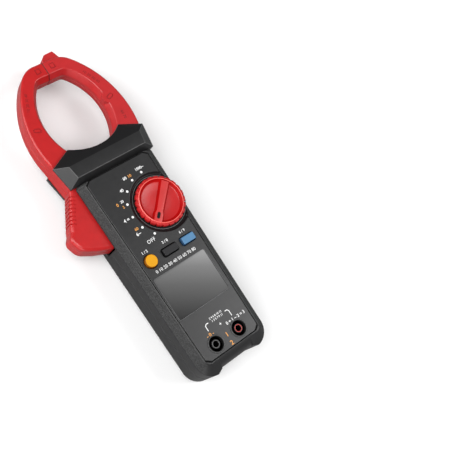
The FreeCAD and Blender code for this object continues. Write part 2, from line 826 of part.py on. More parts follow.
def button_dome(name):
    x = {"yellow": yellow_x, "grey": grey_x, "blue": blue_x}[name]
    outer = Part.makeCone(dome_low_r, dome_high_r, dome_height, V(x, button_y, board_top))
    inner = Part.makeCone(dome_low_r - dome_wall, dome_high_r - dome_wall, dome_height - dome_wall,
                          V(x, button_y, board_top))
    return outer.cut(inner)


# ---- Input jacks --------------------------------------------------------------------------

def jack_well(x):
    outer_r = jack_well_r + jack_well_wall
    cup = rod(x, jack_y, outer_r, jack_floor, face_level + jack_rim)
    cup = cup.cut(rod(x, jack_y, jack_well_r, jack_floor + jack_floor_thickness, face_level + 1))
    return cup.cut(rod(x, jack_y, jack_bore_r + jack_tube_wall + jack_fit, jack_floor - 1, face_level))


def jack_post(x):
    return tube(x, jack_y, jack_bore_r + jack_tube_wall + jack_fit, jack_post_r,
                jack_floor + jack_floor_thickness, face_level - post_sink)


def jack_contact(x):
    top = face_level - contact_sink
    outer = rod(x, jack_y, jack_bore_r + jack_tube_wall, top - jack_bore_length - 1.0, top)
    return outer.cut(rod(x, jack_y, jack_bore_r, top - jack_bore_length, top + 1))


# ---- Batteries ----------------------------------------------------------------------------

def cell_places():
    shift = cell_r + cell_gap / 2
    return (-shift, shift)


def along(x, radius, y0, y1):
    return Part.makeCylinder(radius, y1 - y0, V(x, y0, cell_level), V(0, 1, 0))


def battery_cells():
    cells = []
    for i, x in enumerate(cell_places()):
        nub = 1.0
        if i == 0:
            can = along(x, cell_r, cells_low, cells_high - nub)
            tip = along(x, 1.9, cells_high - nub - 0.5, cells_high)
        else:
            can = along(x, cell_r, cells_low + nub, cells_high)
            tip = along(x, 1.9, cells_low, cells_low + nub + 0.5)
        cells.append(can.fuse(tip))
    return Part.Compound(cells)


def battery_plates():
    half = cell_r - 0.5
    low, high = cells_low - contact_spring_length, cells_high
    pieces = []
    for x in cell_places():
        pieces.append(block(x - half, x + half, low - contact_plate, low,
                            cell_level - half, cell_level + half))
        pieces.append(block(x - half, x + half, high, high + contact_plate,
                            cell_level - half, cell_level + half))
    return Part.Compound(pieces)


def battery_springs():
    pieces = []
    turns = 3
    low = cells_low - contact_spring_length
    pitch = contact_spring_length / turns
    for x in cell_places():
        rings = []
        for i in range(turns):
            radius = 3.4 - 0.7 * i
            rings.append(along(x, radius, low + pitch * i, low + pitch * i + pitch * 0.6))
        rings.append(along(x, 1.7, low, cells_low))
        pieces.append(joined(rings).cut(along(x, 1.2, low - 1, cells_low + 1)))
    return Part.Compound(pieces)


def battery_door():
    plate = block(-door_half, door_half, door_low, door_high, 0, door_thickness)
    place = door_low + door_tongue / 2
    hole = rod(0, place, screw_r + 0.1, -1, door_thickness + 1).fuse(rod(0, place, screw_r + 1.1, -1, 0.9))
    grips = []
    for i in range(5):
        y = door_high - 6.0 - 2.0 * i
        grips.append(block(-7, 7, y, y + 0.9, -1, 0.5))
    return plate.cut([hole] + grips)


def battery_door_screw():
    y = door_low + door_tongue / 2
    head = rod(0, y, screw_r + 1.0, 0.2, 0.9)
    shank = rod(0, y, screw_r * 0.78, 0.9, wall + 4.5)
    slot = block(-2.6, 2.6, y - 0.3, y + 0.3, 0, 0.6)
    return head.fuse(shank).cut(slot)


def housing_screws():
    screws = []
    for x, y in screw_places:
        top = screw_sink + screw_head_height
        head = rod(x, y, screw_head_r, screw_sink, top)
        shank = rod(x, y, screw_r, top, screw_sink + screw_length)
        cross = block(x - 1.6, x + 1.6, y - 0.35, y + 0.35, screw_sink - 1, screw_sink + 0.9)
        screws.append(head.fuse(shank).cut([cross, turned(cross, x, y, 90)]))
    return Part.Compound(screws)


# ---- Jaws ---------------------------------------------------------------------------------

# upright oval with two big arcs for its sides, a flat top with round corners and a flat foot
def oval(cx, cy, radius, top, corner, foot, z):
    corner_y = top - corner
    corner_x = math.sqrt((radius - corner) ** 2 - (corner_y - cy) ** 2) - cx
    lean = math.atan2(corner_y - cy, corner_x + cx)
    drop = math.asin((foot - cy) / radius)

    def side(angle):
        return V(-cx + radius * math.cos(angle), cy + radius * math.sin(angle), z)

    def bend(angle):
        return V(corner_x + corner * math.cos(angle), corner_y + corner * math.sin(angle), z)

    right = [side(drop), side((drop + lean) / 2), side(lean), bend((lean + math.pi / 2) / 2),
             bend(math.pi / 2)]
    left = [V(-p.x, p.y, p.z) for p in right]
    return Part.Wire([Part.Arc(right[0], right[1], right[2]).toShape(),
                      Part.Arc(right[2], right[3], right[4]).toShape(),
                      Part.makeLine(right[4], left[4]),
                      Part.Arc(left[4], left[3], left[2]).toShape(),
                      Part.Arc(left[2], left[1], left[0]).toShape(),
                      Part.makeLine(left[0], right[0])])


def outer_oval(z, inset=0.0, foot=None):
    return oval(jaw_outer_cx, jaw_outer_cy, jaw_outer_r - inset, jaw_top - inset,
                jaw_outer_corner - inset, root_low if foot is None else foot, z)


def inner_oval(z, grow=0.0, foot=None):
    return oval(opening_cx, opening_cy, opening_r + grow, opening_top + grow,
                opening_corner + grow, root_low + 7.0 if foot is None else foot, z)


# plain ring between the two ovals
def jaw_band(low, high, outer_inset, inner_grow):
    ring = prism(outer_oval(low, outer_inset), low, high)
    return ring.cut(prism(inner_oval(low, inner_grow), low - 1, high + 1))


# front half of the whole ring, with its bevelled edges
def jaw_ring_front():
    bevel_low = jaw_front - inner_bevel_depth
    outer = prism(outer_oval(split_level), split_level, jaw_front - outer_bevel)
    outer = outer.fuse(loft(outer_oval(jaw_front - outer_bevel), outer_oval(jaw_front, outer_bevel)))
    inner = prism(inner_oval(split_level - 1), split_level - 1, bevel_low)
    inner = inner.fuse(loft(inner_oval(bevel_low), inner_oval(jaw_front, inner_bevel_width)))
    inner = inner.fuse(prism(inner_oval(jaw_front, inner_bevel_width), jaw_front, jaw_front + 1))
    return outer.cut(inner)


def right_side(low, high, foot):
    return block(jaw_split + jaw_meeting_gap / 2, collar_corner_half + 10, foot, jaw_top + 10, low, high)


def left_side(low, high, foot):
    return block(-collar_corner_half - 30, jaw_split - jaw_meeting_gap / 2, foot, jaw_top + 10, low, high)


# clearance of the window wall and of the hub, cut from what lies between the jaws' roots
def root_clearance(low, high, extra=0.0):
    arc = rod(0, window_centre, window_radius + collar_wall + jaw_exit_gap + extra, low, high)
    arc = arc.common(block(-2 * window_radius, window_radius * 0.37 + extra, 0, window_centre, low, high))
    hub = rod(pivot_x, pivot_y, hub_radius + hub_gap + extra, low, high)
    return arc.fuse(hub)


def root_block(low, high, inset=0.0):
    side = collar_low_half - collar_wall - jaw_exit_gap - inset
    return prism(rounded([(root_left + inset, root_foot + inset), (side, root_foot + inset),
                          (side + side_slope * 8, root_high - inset),
                          (root_left + inset, root_high - inset)]), low, high)


def hook_solid(low, high):
    base = jaw_top - 1.5
    tip = jaw_top + hook_rise
    return prism(rounded([(hook_left, base), (hook_right, base - 2.5), (hook_right - 3.6, tip, 0.8),
                          (hook_left + 3.4, tip - 0.2, 0.8), (hook_left, tip - 3.2, 0.5)]), low, high)


def fixed_cavity(low, high, extra=0.0):
    band = jaw_band(low, high, jaw_wall + extra, jaw_inner_wall + extra)
    band = band.common(right_side(low, high, root_foot + jaw_wall + extra))
    root = root_block(low, high, jaw_wall + extra)
    return band.fuse(root).cut(root_clearance(low, high, jaw_wall + extra))


def fixed_outer_front():
    ring = jaw_ring_front().common(right_side(split_level, jaw_front, root_foot))
    solid = ring.multiFuse([root_block(split_level, jaw_front),
                            hook_solid(split_level, split_level + hook_half)])
    return solid.cut(root_clearance(split_level, jaw_front))


# plan of the lower arm and the trigger, from the pivot
def trigger_points():
    x, y = trigger_out, trigger_drop
    plan = [(-0.412 * x, -0.164 * y, 0), (-0.837 * x, -0.549 * y, 0.26 * x),
            (-0.869 * x, -0.593 * y, 0.05 * x), (-x, -0.673 * y, 0.16 * x),
            (-0.899 * x, -0.836 * y, 0.26 * x), (-0.605 * x, -0.924 * y, 0.52 * x),
            (-0.248 * x, -y, 0.065 * x), (-0.203 * x, -0.955 * y, 0.065 * x),
            (0.183 * x, -0.138 * y, 0), (0, -0.109 * y, 0), (-0.36 * x, -0.127 * y, 0)]
    return [(pivot_x + px, pivot_y + py, r) for px, py, r in plan]


def trigger_reach():
    return max(math.hypot(p[0] - pivot_x, p[1] - pivot_y) for p in trigger_points()[5:8])


def trigger_front_half():
    solid = prism(rounded(trigger_points(), split_level), split_level, trigger_front)
    rim = [e for e in solid.Edges
           if e.BoundBox.ZMin > trigger_front - 0.01 and e.CenterOfMass.y < trigger_points()[0][1] - 0.1
           and e.CenterOfMass.x < trigger_points()[6][0] - 0.1]
    return solid.makeFillet(trigger_round, rim)


# grip grooves across the trigger's outer edge
def trigger_grooves():
    top, bottom = trigger_points()[0], trigger_points()[1]
    start, end = V(top[0], top[1], 0), V(bottom[0], bottom[1], 0)
    run = end - start
    direction = math.degrees(math.atan2(run.y, run.x))
    grooves = []
    for i in range(rib_count):
        place = start + run * (0.18 + 0.72 * i / (rib_count - 1))
        flank = block(-rib_width / 2, rib_width / 2, -rib_depth, 2, split_level - 12, trigger_front + 1)
        face = block(-rib_width / 2, rib_width / 2, -rib_length - rib_depth, 2,
                     trigger_front - rib_depth, trigger_front + 1)
        corner = block(-rib_width / 2, rib_width / 2, -trigger_round * 0.55, 2,
                       trigger_front - trigger_round * 0.55, trigger_front + 1)
        cut = joined([flank, face, corner])
        cut.rotate(V(0, 0, 0), V(0, 0, 1), direction + 180)
        cut.translate(place)
        grooves.append(cut)
    return grooves


# arm between the band and the trigger, past the hub
def hub_web(low, high, inset=0.0):
    left, foot = trigger_points()[0][0], trigger_points()[0][1]
    right, side = trigger_points()[8][0], trigger_points()[8][1]
    top = pivot_y + hub_radius
    return prism(rounded([(left - 2.0 + inset, top), (left + inset, foot - 0.6), (right - inset, side),
                          (right + 2.0 - inset, pivot_y - 2.0), (right - 0.6 - inset, top - 2.1),
                          (right - 3.1 - inset, top + 1.4)]), low, high)


def moving_outer_front():
    ring = jaw_ring_front().common(left_side(split_level, jaw_front, pivot_y + moving_foot))
    hub = rod(pivot_x, pivot_y, hub_radius, split_level, jaw_front)
    solid = ring.multiFuse([hub, hub_web(split_level, jaw_front), trigger_front_half()])
    return solid.cut(trigger_grooves())


def moving_cavity(low, high, extra=0.0):
    band = jaw_band(low, high, jaw_wall + extra, jaw_inner_wall + extra)
    band = band.common(left_side(low, high, pivot_y + moving_foot))
    hub = rod(pivot_x, pivot_y, hub_radius - hub_wall - extra, low, high)
    web = hub_web(low, high, jaw_wall + extra + 1.2).common(
        block(-2 * jaw_half_width, 0, pivot_y - 2, jaw_top, low, high))
    return band.multiFuse([hub, web])


def cavity_top():
    return jaw_front - jaw_wall


def engraved_oval(x, y, degrees):
    a, b, c = badge_length / 2, badge_width / 2, mark_line
    outer = prism(rounded([(-a, -b, b * 0.9), (a, -b, b * 0.9), (a, b, b * 0.9), (-a, b, b * 0.9)]),
                  jaw_front - mark_depth, jaw_front + 1)
    a, b = a - c, b - c
    inner = prism(rounded([(-a, -b, b * 0.9), (a, -b, b * 0.9), (a, b, b * 0.9), (-a, b, b * 0.9)]),
                  jaw_front - mark_depth - 1, jaw_front + 2)
    mark = outer.cut(inner)
    mark.rotate(V(0, 0, 0), V(0, 0, 1), degrees)
    mark.translate(V(x, y, 0))
    return mark


def engraved_square(x, y):
    a = mark_size / 2
    b = a - mark_line
    ring = block(x - a, x + a, y - a, y + a, jaw_front - mark_depth, jaw_front + 1)
    return ring.cut(block(x - b, x + b, y - b, y + b, jaw_front - 2, jaw_front + 2))


# tab that carries the fixed jaw's mark out over the inner bevel
def badge_tab():
    edge, y = opening_half_width + inner_bevel_width, opening_cy + badge_rise
    tip, root, r = edge - badge_tab_reach, edge + inner_bevel_width / 2, badge_tab_half * 0.8
    return prism(rounded([(tip, y - badge_tab_half, r), (root, y - badge_tab_half),
                          (root, y + badge_tab_half), (tip, y + badge_tab_half, r)]),
                 jaw_front - inner_bevel_depth, jaw_front)


# side of +1 for the fixed jaw, -1 for the moving one
def engraved_marks(side):
    x = side * (opening_half_width + jaw_half_width) / 2 - (badge_shift if side > 0 else 0)
    return [engraved_oval(x, opening_cy + badge_rise, 20 * side),
            engraved_square(jaw_split + side * mark_shift, jaw_top - mark_drop)]


def fixed_jaw(front):
    cavity = fixed_cavity(split_level - 1, cavity_top())
    if front:
        return fixed_outer_front().fuse(badge_tab()).cut([cavity] + engraved_marks(1))
    return flipped(fixed_outer_front().cut(cavity))


def moving_jaw(front):
    half = moving_outer_front().cut(moving_cavity(split_level - 1, cavity_top()))
    half = half.cut(rod(pivot_x, pivot_y, pin_radius + pin_gap, split_level - 1, jaw_front + 1))
    if front:
        return half.cut(engraved_marks(-1))
    return flipped(half)


def core_levels(margin):
    half = jaw_thickness / 2 - jaw_wall - margin
    return split_level - half, split_level + half


def fixed_core():
    low, high = core_levels(core_margin)
    return fixed_cavity(low, high, core_margin)


def moving_core():
    low, high = core_levels(core_margin)
    core = moving_cavity(low, high, core_margin)
    return core.cut(rod(pivot_x, pivot_y, pin_radius + pin_gap, low - 1, high + 1))


def winding(side):
    low, high = core_levels(winding_gap)
    inner_low, inner_high = core_levels(core_margin - core_fit)
    outer = jaw_band(low, high, jaw_wall + winding_gap, jaw_inner_wall + winding_gap)
    inner = jaw_band(inner_low, inner_high, jaw_wall + core_margin - core_fit,
                     jaw_inner_wall + core_margin - core_fit)
    x0, x1 = (0, jaw_top) if side > 0 else (-jaw_top, 0)
    return outer.cut(inner).common(block(x0, x1, winding_low, winding_high, low, high))


# ---- Pivot --------------------------------------------------------------------------------

def jaw_pivot_pin():
    pin = rod(pivot_x, pivot_y, pin_radius, slot_back - pin_seat + 0.1, slot_front + pin_seat - 0.1)
    ends = [e for e in pin.Edges if e.BoundBox.ZLength < 0.01]
    return pin.makeChamfer(0.4, ends)


# close-wound torsion spring round the collar's front boss, with two legs
def jaw_spring():
    wire = spring_wire / 2
    mean = (spring_inner + spring_outer) / 2
    low = slot_front + 0.1
    rings = []
    for i in range(spring_turns):
        rings.append(Part.makeTorus(mean, wire, V(pivot_x, pivot_y, low + wire + i * spring_wire * 0.98)))
    sleeve = tube(pivot_x, pivot_y, mean - wire * 0.6, mean + wire * 0.6, low + wire * 0.6,
                  low + (spring_turns - 0.3) * spring_wire)
    return joined([sleeve] + rings)


# ---- Write --------------------------------------------------------------------------------

nodes = {
    "front_shell": front_shell,
    "rear_shell": rear_shell,
    "face_panel": face_panel,
    "display_window": display_window,
    "lcd_glass": lcd_glass,
    "lcd_bezel": lcd_bezel,
    "backlight_panel": backlight_panel,
    "lcd_strips": lcd_strips,
    "main_board": main_board,
    "board_screws": board_screws,
    "main_chip": main_chip,
    "buzzer": buzzer,
    "dial_knob": dial_knob,
    "dial_pointer": pointer_solid,
    "dial_rotor": dial_rotor,
    "dial_wipers": dial_wipers,
    "detent_ring": detent_ring,
    "detent_balls": detent_balls,
    "detent_springs": detent_springs,
    "yellow_button": lambda: push_button("yellow"),
    "grey_button": lambda: push_button("grey"),
    "blue_button": lambda: push_button("blue"),
    "yellow_dome": lambda: button_dome("yellow"),
    "grey_dome": lambda: button_dome("grey"),
    "blue_dome": lambda: button_dome("blue"),
    "common_jack_well": lambda: jack_well(jack_places[0]),
    "common_jack_post": lambda: jack_post(jack_places[0]),
    "common_jack_contact": lambda: jack_contact(jack_places[0]),
    "input_jack_well": lambda: jack_well(jack_places[1]),
    "input_jack_post": lambda: jack_post(jack_places[1]),
    "input_jack_contact": lambda: jack_contact(jack_places[1]),
    "battery_cells": battery_cells,
    "battery_plates": battery_plates,
    "battery_springs": battery_springs,
    "battery_door": battery_door,
    "battery_door_screw": battery_door_screw,
    "housing_screws": housing_screws,
    "fixed_jaw_front": lambda: fixed_jaw(True),
    "fixed_jaw_rear": lambda: fixed_jaw(False),
    "fixed_core": fixed_core,
    "fixed_winding": lambda: winding(1),
    "moving_jaw_front": lambda: moving_jaw(True),
    "moving_jaw_rear": lambda: moving_jaw(False),
    "moving_core": moving_core,
    "moving_winding": lambda: winding(-1),
    "jaw_pivot_pin": jaw_pivot_pin,
    "jaw_spring": jaw_spring,
}

os.makedirs("parts", exist_ok=True)
for name, make in nodes.items():
    shape = make()
    shape.exportStep("parts/" + name + ".step")
    print(name, len(shape.Solids), round(shape.Volume, 1), shape.isValid())
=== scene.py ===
import math

import bmesh
import bpy
from mathutils import Matrix, Vector


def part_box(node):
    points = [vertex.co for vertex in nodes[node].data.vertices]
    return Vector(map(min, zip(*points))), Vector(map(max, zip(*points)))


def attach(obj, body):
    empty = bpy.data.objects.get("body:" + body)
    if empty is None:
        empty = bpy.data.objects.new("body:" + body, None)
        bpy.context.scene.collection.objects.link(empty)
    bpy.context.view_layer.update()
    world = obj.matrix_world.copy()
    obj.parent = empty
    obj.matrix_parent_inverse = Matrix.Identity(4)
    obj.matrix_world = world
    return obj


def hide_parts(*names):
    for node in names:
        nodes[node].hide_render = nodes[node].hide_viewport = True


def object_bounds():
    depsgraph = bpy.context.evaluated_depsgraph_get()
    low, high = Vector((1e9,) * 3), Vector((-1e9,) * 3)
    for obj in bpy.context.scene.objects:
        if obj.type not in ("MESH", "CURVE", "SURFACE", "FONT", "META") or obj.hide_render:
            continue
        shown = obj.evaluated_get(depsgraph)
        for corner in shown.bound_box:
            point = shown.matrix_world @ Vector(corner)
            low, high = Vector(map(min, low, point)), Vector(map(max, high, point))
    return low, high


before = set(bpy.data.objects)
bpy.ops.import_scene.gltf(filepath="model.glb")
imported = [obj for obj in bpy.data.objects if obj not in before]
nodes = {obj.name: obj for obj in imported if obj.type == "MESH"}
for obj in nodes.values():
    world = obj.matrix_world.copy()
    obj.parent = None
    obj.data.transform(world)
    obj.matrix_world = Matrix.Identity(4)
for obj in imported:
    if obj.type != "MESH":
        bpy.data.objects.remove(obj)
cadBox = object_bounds()


# sizes and places below are in millimetres
def mm(value):
    return value / 1000


def low(node):
    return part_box(node)[0] * 1000


def high(node):
    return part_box(node)[1] * 1000


faceTop = high("face_panel").z
jawTop = high("fixed_jaw_front").z
knobLow = low("dial_knob")
knobHigh = high("dial_knob")
dialX = (low("dial_rotor").x + high("dial_rotor").x) / 2
dialY = (low("dial_rotor").y + high("dial_rotor").y) / 2
splitLevel = low("front_shell").z


# nodes of one finish; its textures follow the piece's own coordinates
class Wiring:
    def __init__(self, name):
        self.material = bpy.data.materials.new(name)
        self.material.use_nodes = True
        self.nodes = self.material.node_tree.nodes
        self.links = self.material.node_tree.links
        self.shader = self.nodes["Principled BSDF"]
        self.place = self.nodes.new("ShaderNodeTexCoord").outputs["Object"]

    def noise(self, size, detail=3.0, rough=0.5):
        node = self.nodes.new("ShaderNodeTexNoise")
        node.inputs["Scale"].default_value = 1 / mm(size)
        node.inputs["Detail"].default_value = detail
        node.inputs["Roughness"].default_value = rough
        self.links.new(self.place, node.inputs["Vector"])
        return node.outputs["Fac"]

    def ramp(self, value, stops):
        node = self.nodes.new("ShaderNodeValToRGB")
        for i, (where, colour) in enumerate(stops):
            stop = node.color_ramp.elements[i] if i < 2 else node.color_ramp.elements.new(where)
            stop.position = where
            stop.color = (*colour, 1)
        self.links.new(value, node.inputs["Fac"])
        return node.outputs["Color"]

    # stretches 0 to 1 over the range
    def spread(self, value, lowest, highest):
        node = self.nodes.new("ShaderNodeMapRange")
        node.inputs["To Min"].default_value = lowest
        node.inputs["To Max"].default_value = highest
        self.links.new(value, node.inputs["Value"])
        return node.outputs["Result"]

    # how far the value is through the range, from 0 to 1
    def within(self, value, lowest, highest):
        node = self.nodes.new("ShaderNodeMapRange")
        node.inputs["From Min"].default_value = lowest
        node.inputs["From Max"].default_value = highest
        self.links.new(value, node.inputs["Value"])
        return node.outputs["Result"]

    def bump(self, height, depth):
        node = self.nodes.new("ShaderNodeBump")
        node.inputs["Distance"].default_value = mm(depth)
        self.links.new(height, node.inputs["Height"])
        return node.outputs["Normal"]

    def feed(self, value, socket):
        self.links.new(value, self.shader.inputs[socket])


def shade(colour, factor):
    return tuple(min(c * factor, 1.0) for c in colour)


moulding = {"cloudSize": 6.0, "glossSize": 2.5, "gloss": 0.05}


# moulded plastic: fine grain, faint cloudiness, uneven gloss
def plastic(name, colour, rough=0.45, grainSize=0.25, grainDepth=0.006, cloud=0.1, specular=0.5):
    w = Wiring(name)
    clouds = [(0.3, shade(colour, 1 - cloud)), (0.7, shade(colour, 1 + cloud))]
    w.feed(w.ramp(w.noise(moulding["cloudSize"], 4.0), clouds), "Base Color")
    gloss = w.noise(moulding["glossSize"])
    w.feed(w.spread(gloss, rough - moulding["gloss"], rough + moulding["gloss"]), "Roughness")
    w.feed(w.bump(w.noise(grainSize, 2.0), grainDepth), "Normal")
    w.shader.inputs["Specular IOR Level"].default_value = specular
    return w.material


sparked = {"size": 0.7, "detail": 6.0, "harshness": 0.85, "darkAt": 0.46, "lightAt": 0.6,
           "pitRough": 0.75, "peakRough": 0.45, "depth": 0.3}


# spark-eroded texture of the gripping faces
def gripTexture(name, colour, light):
    w = Wiring(name)
    grains = w.noise(sparked["size"], sparked["detail"], sparked["harshness"])
    w.feed(w.ramp(grains, [(sparked["darkAt"], colour), (sparked["lightAt"], light)]), "Base Color")
    w.feed(w.spread(grains, sparked["pitRough"], sparked["peakRough"]), "Roughness")
    w.feed(w.bump(grains, sparked["depth"]), "Normal")
    return w.material


brushing = {"cloudSize": 1.5, "darker": 0.9, "lighter": 1.08, "size": 0.2, "gloss": 0.08, "depth": 0.003}


def metal(name, colour, rough=0.3):
    w = Wiring(name)
    clouds = [(0.3, shade(colour, brushing["darker"])), (0.7, shade(colour, brushing["lighter"]))]
    w.feed(w.ramp(w.noise(brushing["cloudSize"], 4.0), clouds), "Base Color")
    gloss = w.noise(brushing["size"])
    w.feed(w.spread(gloss, rough - brushing["gloss"], rough + brushing["gloss"]), "Roughness")
    w.feed(w.bump(w.noise(brushing["size"], 2.0), brushing["depth"]), "Normal")
    w.shader.inputs["Metallic"].default_value = 1.0
    return w.material


edgeHighlight = {"from": 75.0, "full": 76.5, "roughLow": 0.35, "roughHigh": 0.45}


# painted highlight on the rounded edges of the collar; the body's other rounded edges get painted shade,
# darker than the housing
def edgeHighlightAndShade(name, dark, light):
    w = Wiring(name)
    axes = w.nodes.new("ShaderNodeSeparateXYZ")
    w.links.new(w.place, axes.inputs[0])
    upward = w.within(axes.outputs["Y"], mm(edgeHighlight["from"]), mm(edgeHighlight["full"]))
    w.feed(w.ramp(upward, [(0.0, dark), (1.0, light)]), "Base Color")
    gloss = w.noise(moulding["glossSize"])
    w.feed(w.spread(gloss, edgeHighlight["roughLow"], edgeHighlight["roughHigh"]), "Roughness")
    return w.material


# tones hold how far up the climb and how pale
lens = {"climb": Vector((0.49, 0.87, 0)), "specular": 0.25,
        "tones": [(0.0, 0.008), (1.0, 0.29), (0.75, 0.155), (0.5, 0.088), (0.25, 0.045)],
        "glossSize": 8.0, "roughLow": 0.36, "roughHigh": 0.42}


# dark window with a painted reflection, paler towards its upper right corner
def lensReflection(name):
    w = Wiring(name)
    lowest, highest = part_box("display_window")
    along = w.nodes.new("ShaderNodeVectorMath")
    along.operation = "DOT_PRODUCT"
    along.inputs[1].default_value = lens["climb"]
    w.links.new(w.place, along.inputs[0])
    climb = w.within(along.outputs["Value"], lowest.dot(lens["climb"]), highest.dot(lens["climb"]))
    w.feed(w.ramp(climb, [(at, (tone, tone, tone)) for at, tone in lens["tones"]]), "Base Color")
    w.feed(w.spread(w.noise(lens["glossSize"]), lens["roughLow"], lens["roughHigh"]), "Roughness")
    w.shader.inputs["Specular IOR Level"].default_value = lens["specular"]
    return w.material


finishes = {
    # housing
    "housing": plastic("housingPlastic", (0.015, 0.015, 0.0155), 0.42),
    "grip": gripTexture("gripTexture", (0.002, 0.002, 0.0022), (0.038, 0.0382, 0.0385)),
    "panel": plastic("panelPlastic", (0.017, 0.017, 0.0175), 0.33, 0.2, 0.004),
    # painted shade on the dial recess and on the collar's upper facet
    "recess": plastic("recessPaintedShade", (0.0065, 0.0066, 0.007), 0.45, specular=0.3),
    # painted highlight on the collar's rounded edges, painted shade on the other rounded edges
    "edge": edgeHighlightAndShade("edgeHighlightAndShade", (0.009, 0.009, 0.0093), (0.05, 0.05, 0.051)),
    # pale grey: painted highlight on the recess lip and the jack wells' rims, and the print round the
    # display
    "lip": plastic("highlightAndPrintGrey", (0.12, 0.12, 0.122), 0.35),
    # painted light on the left side of the groove round the panel
    "leftGrooveLight": plastic("leftGrooveLight", (0.07, 0.07, 0.07), 0.5),
    # black painted shade in the groove round the panel and in the pointer's slot
    "gapShade": plastic("gapShadeBlack", (0.004, 0.004, 0.004), 0.6, specular=0.2),
    # painted reflection on the display window
    "lens": lensReflection("lensReflectionGrey"),
    # jaws
    "jaw": plastic("jawRed", (0.455, 0.018, 0.02), 0.3, 0.3, 0.008, 0.06),
    # darker copy of the jaw red: painted shade on the moving jaw
    "movingJaw": plastic("shadedMovingJawRed", (0.44, 0.01, 0.011), 0.3, 0.3, 0.008, 0.06),
    # painted shade where the jaws meet
    "jawSeamShade": plastic("jawSeamShade", (0.09, 0.002, 0.002), 0.5),
    # painted shade for the letters engraved in the jaws
    "jawLetterShade": plastic("jawLetterShade", (0.17, 0.003, 0.004), 0.45),
    # dial
    "knob": plastic("knobRed", (0.455, 0.012, 0.013), 0.33, 0.3, 0.005, 0.05),
    # lighter copy of the knob red: painted light on the bar's top
    "knobBarLit": plastic("knobBarLit", (0.53, 0.035, 0.034), 0.36, 0.3, 0.005, 0.05, 0.4),
    # painted highlight on the knob's ring
    "knobEdgeHighlight": plastic("knobEdgeHighlight", (0.85, 0.13, 0.11), 0.3, 0.3, 0.004, 0.04),
    # painted shade on the knob's dish walls and the bar's sides
    "knobWall": plastic("knobWall", (0.37, 0.002, 0.002), 0.5, 0.3, 0.005, 0.05, 0.1),
    # darker copy of the knob red: painted shade on the band outside the ring
    "knobRimShade": plastic("knobRimShade", (0.42, 0.008, 0.009), 0.5, 0.3, 0.005, 0.05, 0.3),
    "knobShade": plastic("knobShade", (0.3, 0.008, 0.01), 0.4),
    # buttons, and darker copies of their colours for their sides: painted shade
    "yellow": plastic("buttonYellow", (0.66, 0.3, 0.002), 0.5, 0.3, 0.006, 0.04, 0.25),
    "blue": plastic("buttonBlue", (0.075, 0.2, 0.36), 0.5, 0.3, 0.006, 0.04, 0.35),
    "grey": plastic("buttonGrey", (0.008, 0.008, 0.0095), 0.5, 0.3, 0.006, 0.06, 0.4),
    "yellowWall": plastic("buttonYellowWall", (0.24, 0.075, 0.001), 0.5, 0.3, 0.006, 0.04, 0.2),
    "blueWall": plastic("buttonBlueWall", (0.02, 0.06, 0.13), 0.5, 0.3, 0.006, 0.04, 0.3),
    "greyWall": plastic("buttonGreyWall", (0.004, 0.004, 0.0045), 0.5, 0.3, 0.006, 0.04, 0.3),
    # printing
    "white": plastic("printWhite", (0.85, 0.85, 0.85), 0.5, 0.3, 0.002, 0.03),
    "orange": plastic("printOrange", (0.75, 0.32, 0.06), 0.5, 0.3, 0.002, 0.03),
    # jacks and the parts inside
    "black": plastic("mouldedBlack", (0.006, 0.006, 0.006), 0.5),
    "post": plastic("postGrey", (0.15, 0.15, 0.15), 0.4),
    "redPost": plastic("postRed", (0.66, 0.1, 0.09), 0.4),
    # nearly black: painted shade on the contacts inside the jacks
    "shadedContact": metal("contactShadeDark", (0.05, 0.045, 0.04), 0.4),
    "steel": metal("screwSteel", (0.55, 0.55, 0.56), 0.3),
    "brass": metal("contactBrass", (0.62, 0.45, 0.2), 0.3),
    "copper": metal("copperWire", (0.6, 0.25, 0.1), 0.35),
    "board": plastic("boardGreen", (0.015, 0.11, 0.05), 0.35),
    "natural": plastic("naturalPlastic", (0.6, 0.6, 0.56), 0.45),
}


# edges sharper than smooth degrees stay sharp; scale is off for a mesh that is in metres already
def addPiece(name, bm, body, finish, scale=True, smooth=35):
    if scale:
        bmesh.ops.scale(bm, vec=(0.001, 0.001, 0.001), verts=bm.verts)
    bm.normal_update()
    for edge in bm.edges:
        edge.smooth = edge.calc_face_angle(0) < math.radians(smooth)
    for face in bm.faces:
        face.smooth = True
    mesh = bpy.data.meshes.new(name)
    bm.to_mesh(mesh)
    bm.free()
    piece = bpy.data.objects.new(name, mesh)
    bpy.context.scene.collection.objects.link(piece)
    for f in finish:
        mesh.materials.append(finishes[f])
    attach(piece, body)
    return piece


# turns a profile of radii and heights round the z axis
def revolve(profile, steps):
    bm = bmesh.new()
    verts = [bm.verts.new((r, 0, z)) for r, z in profile]
    edges = [bm.edges.new(pair) for pair in zip(verts, verts[1:])]
    bmesh.ops.spin(bm, geom=verts + edges, cent=(0, 0, 0), axis=(0, 0, 1), angle=2 * math.pi,
                   steps=steps, use_merge=True)
    return bm


# raised ring; its profile holds radii, and heights above the level
def buildRing(name, x, y, level, profile, steps, finish):
    bm = revolve([(r, level + z) for r, z in profile], steps)
    bmesh.ops.recalc_face_normals(bm, faces=bm.faces)
    bmesh.ops.translate(bm, vec=(x, y, 0), verts=bm.verts)
    addPiece(name, bm, "housing", [finish])


rounding = {"angle": 28, "farthest": 3, "share": 0.4, "least": 0.45, "flatWeight": 90,
            "weld": 0.003, "flat": 0.8, "slimSides": 6, "slim": 0.6, "seam": 0.25}


def soften(piece, width, segments, material):
    bevel = piece.modifiers.new("soften", "BEVEL")
    bevel.width = mm(width)
    bevel.segments = segments
    bevel.limit_method = "WEIGHT"
    bevel.use_clamp_overlap = False
    bevel.miter_outer = "MITER_ARC"
    bevel.material = material
    even = piece.modifiers.new("even", "WEIGHTED_NORMAL")
    even.keep_sharp = True
    even.weight = rounding["flatWeight"]


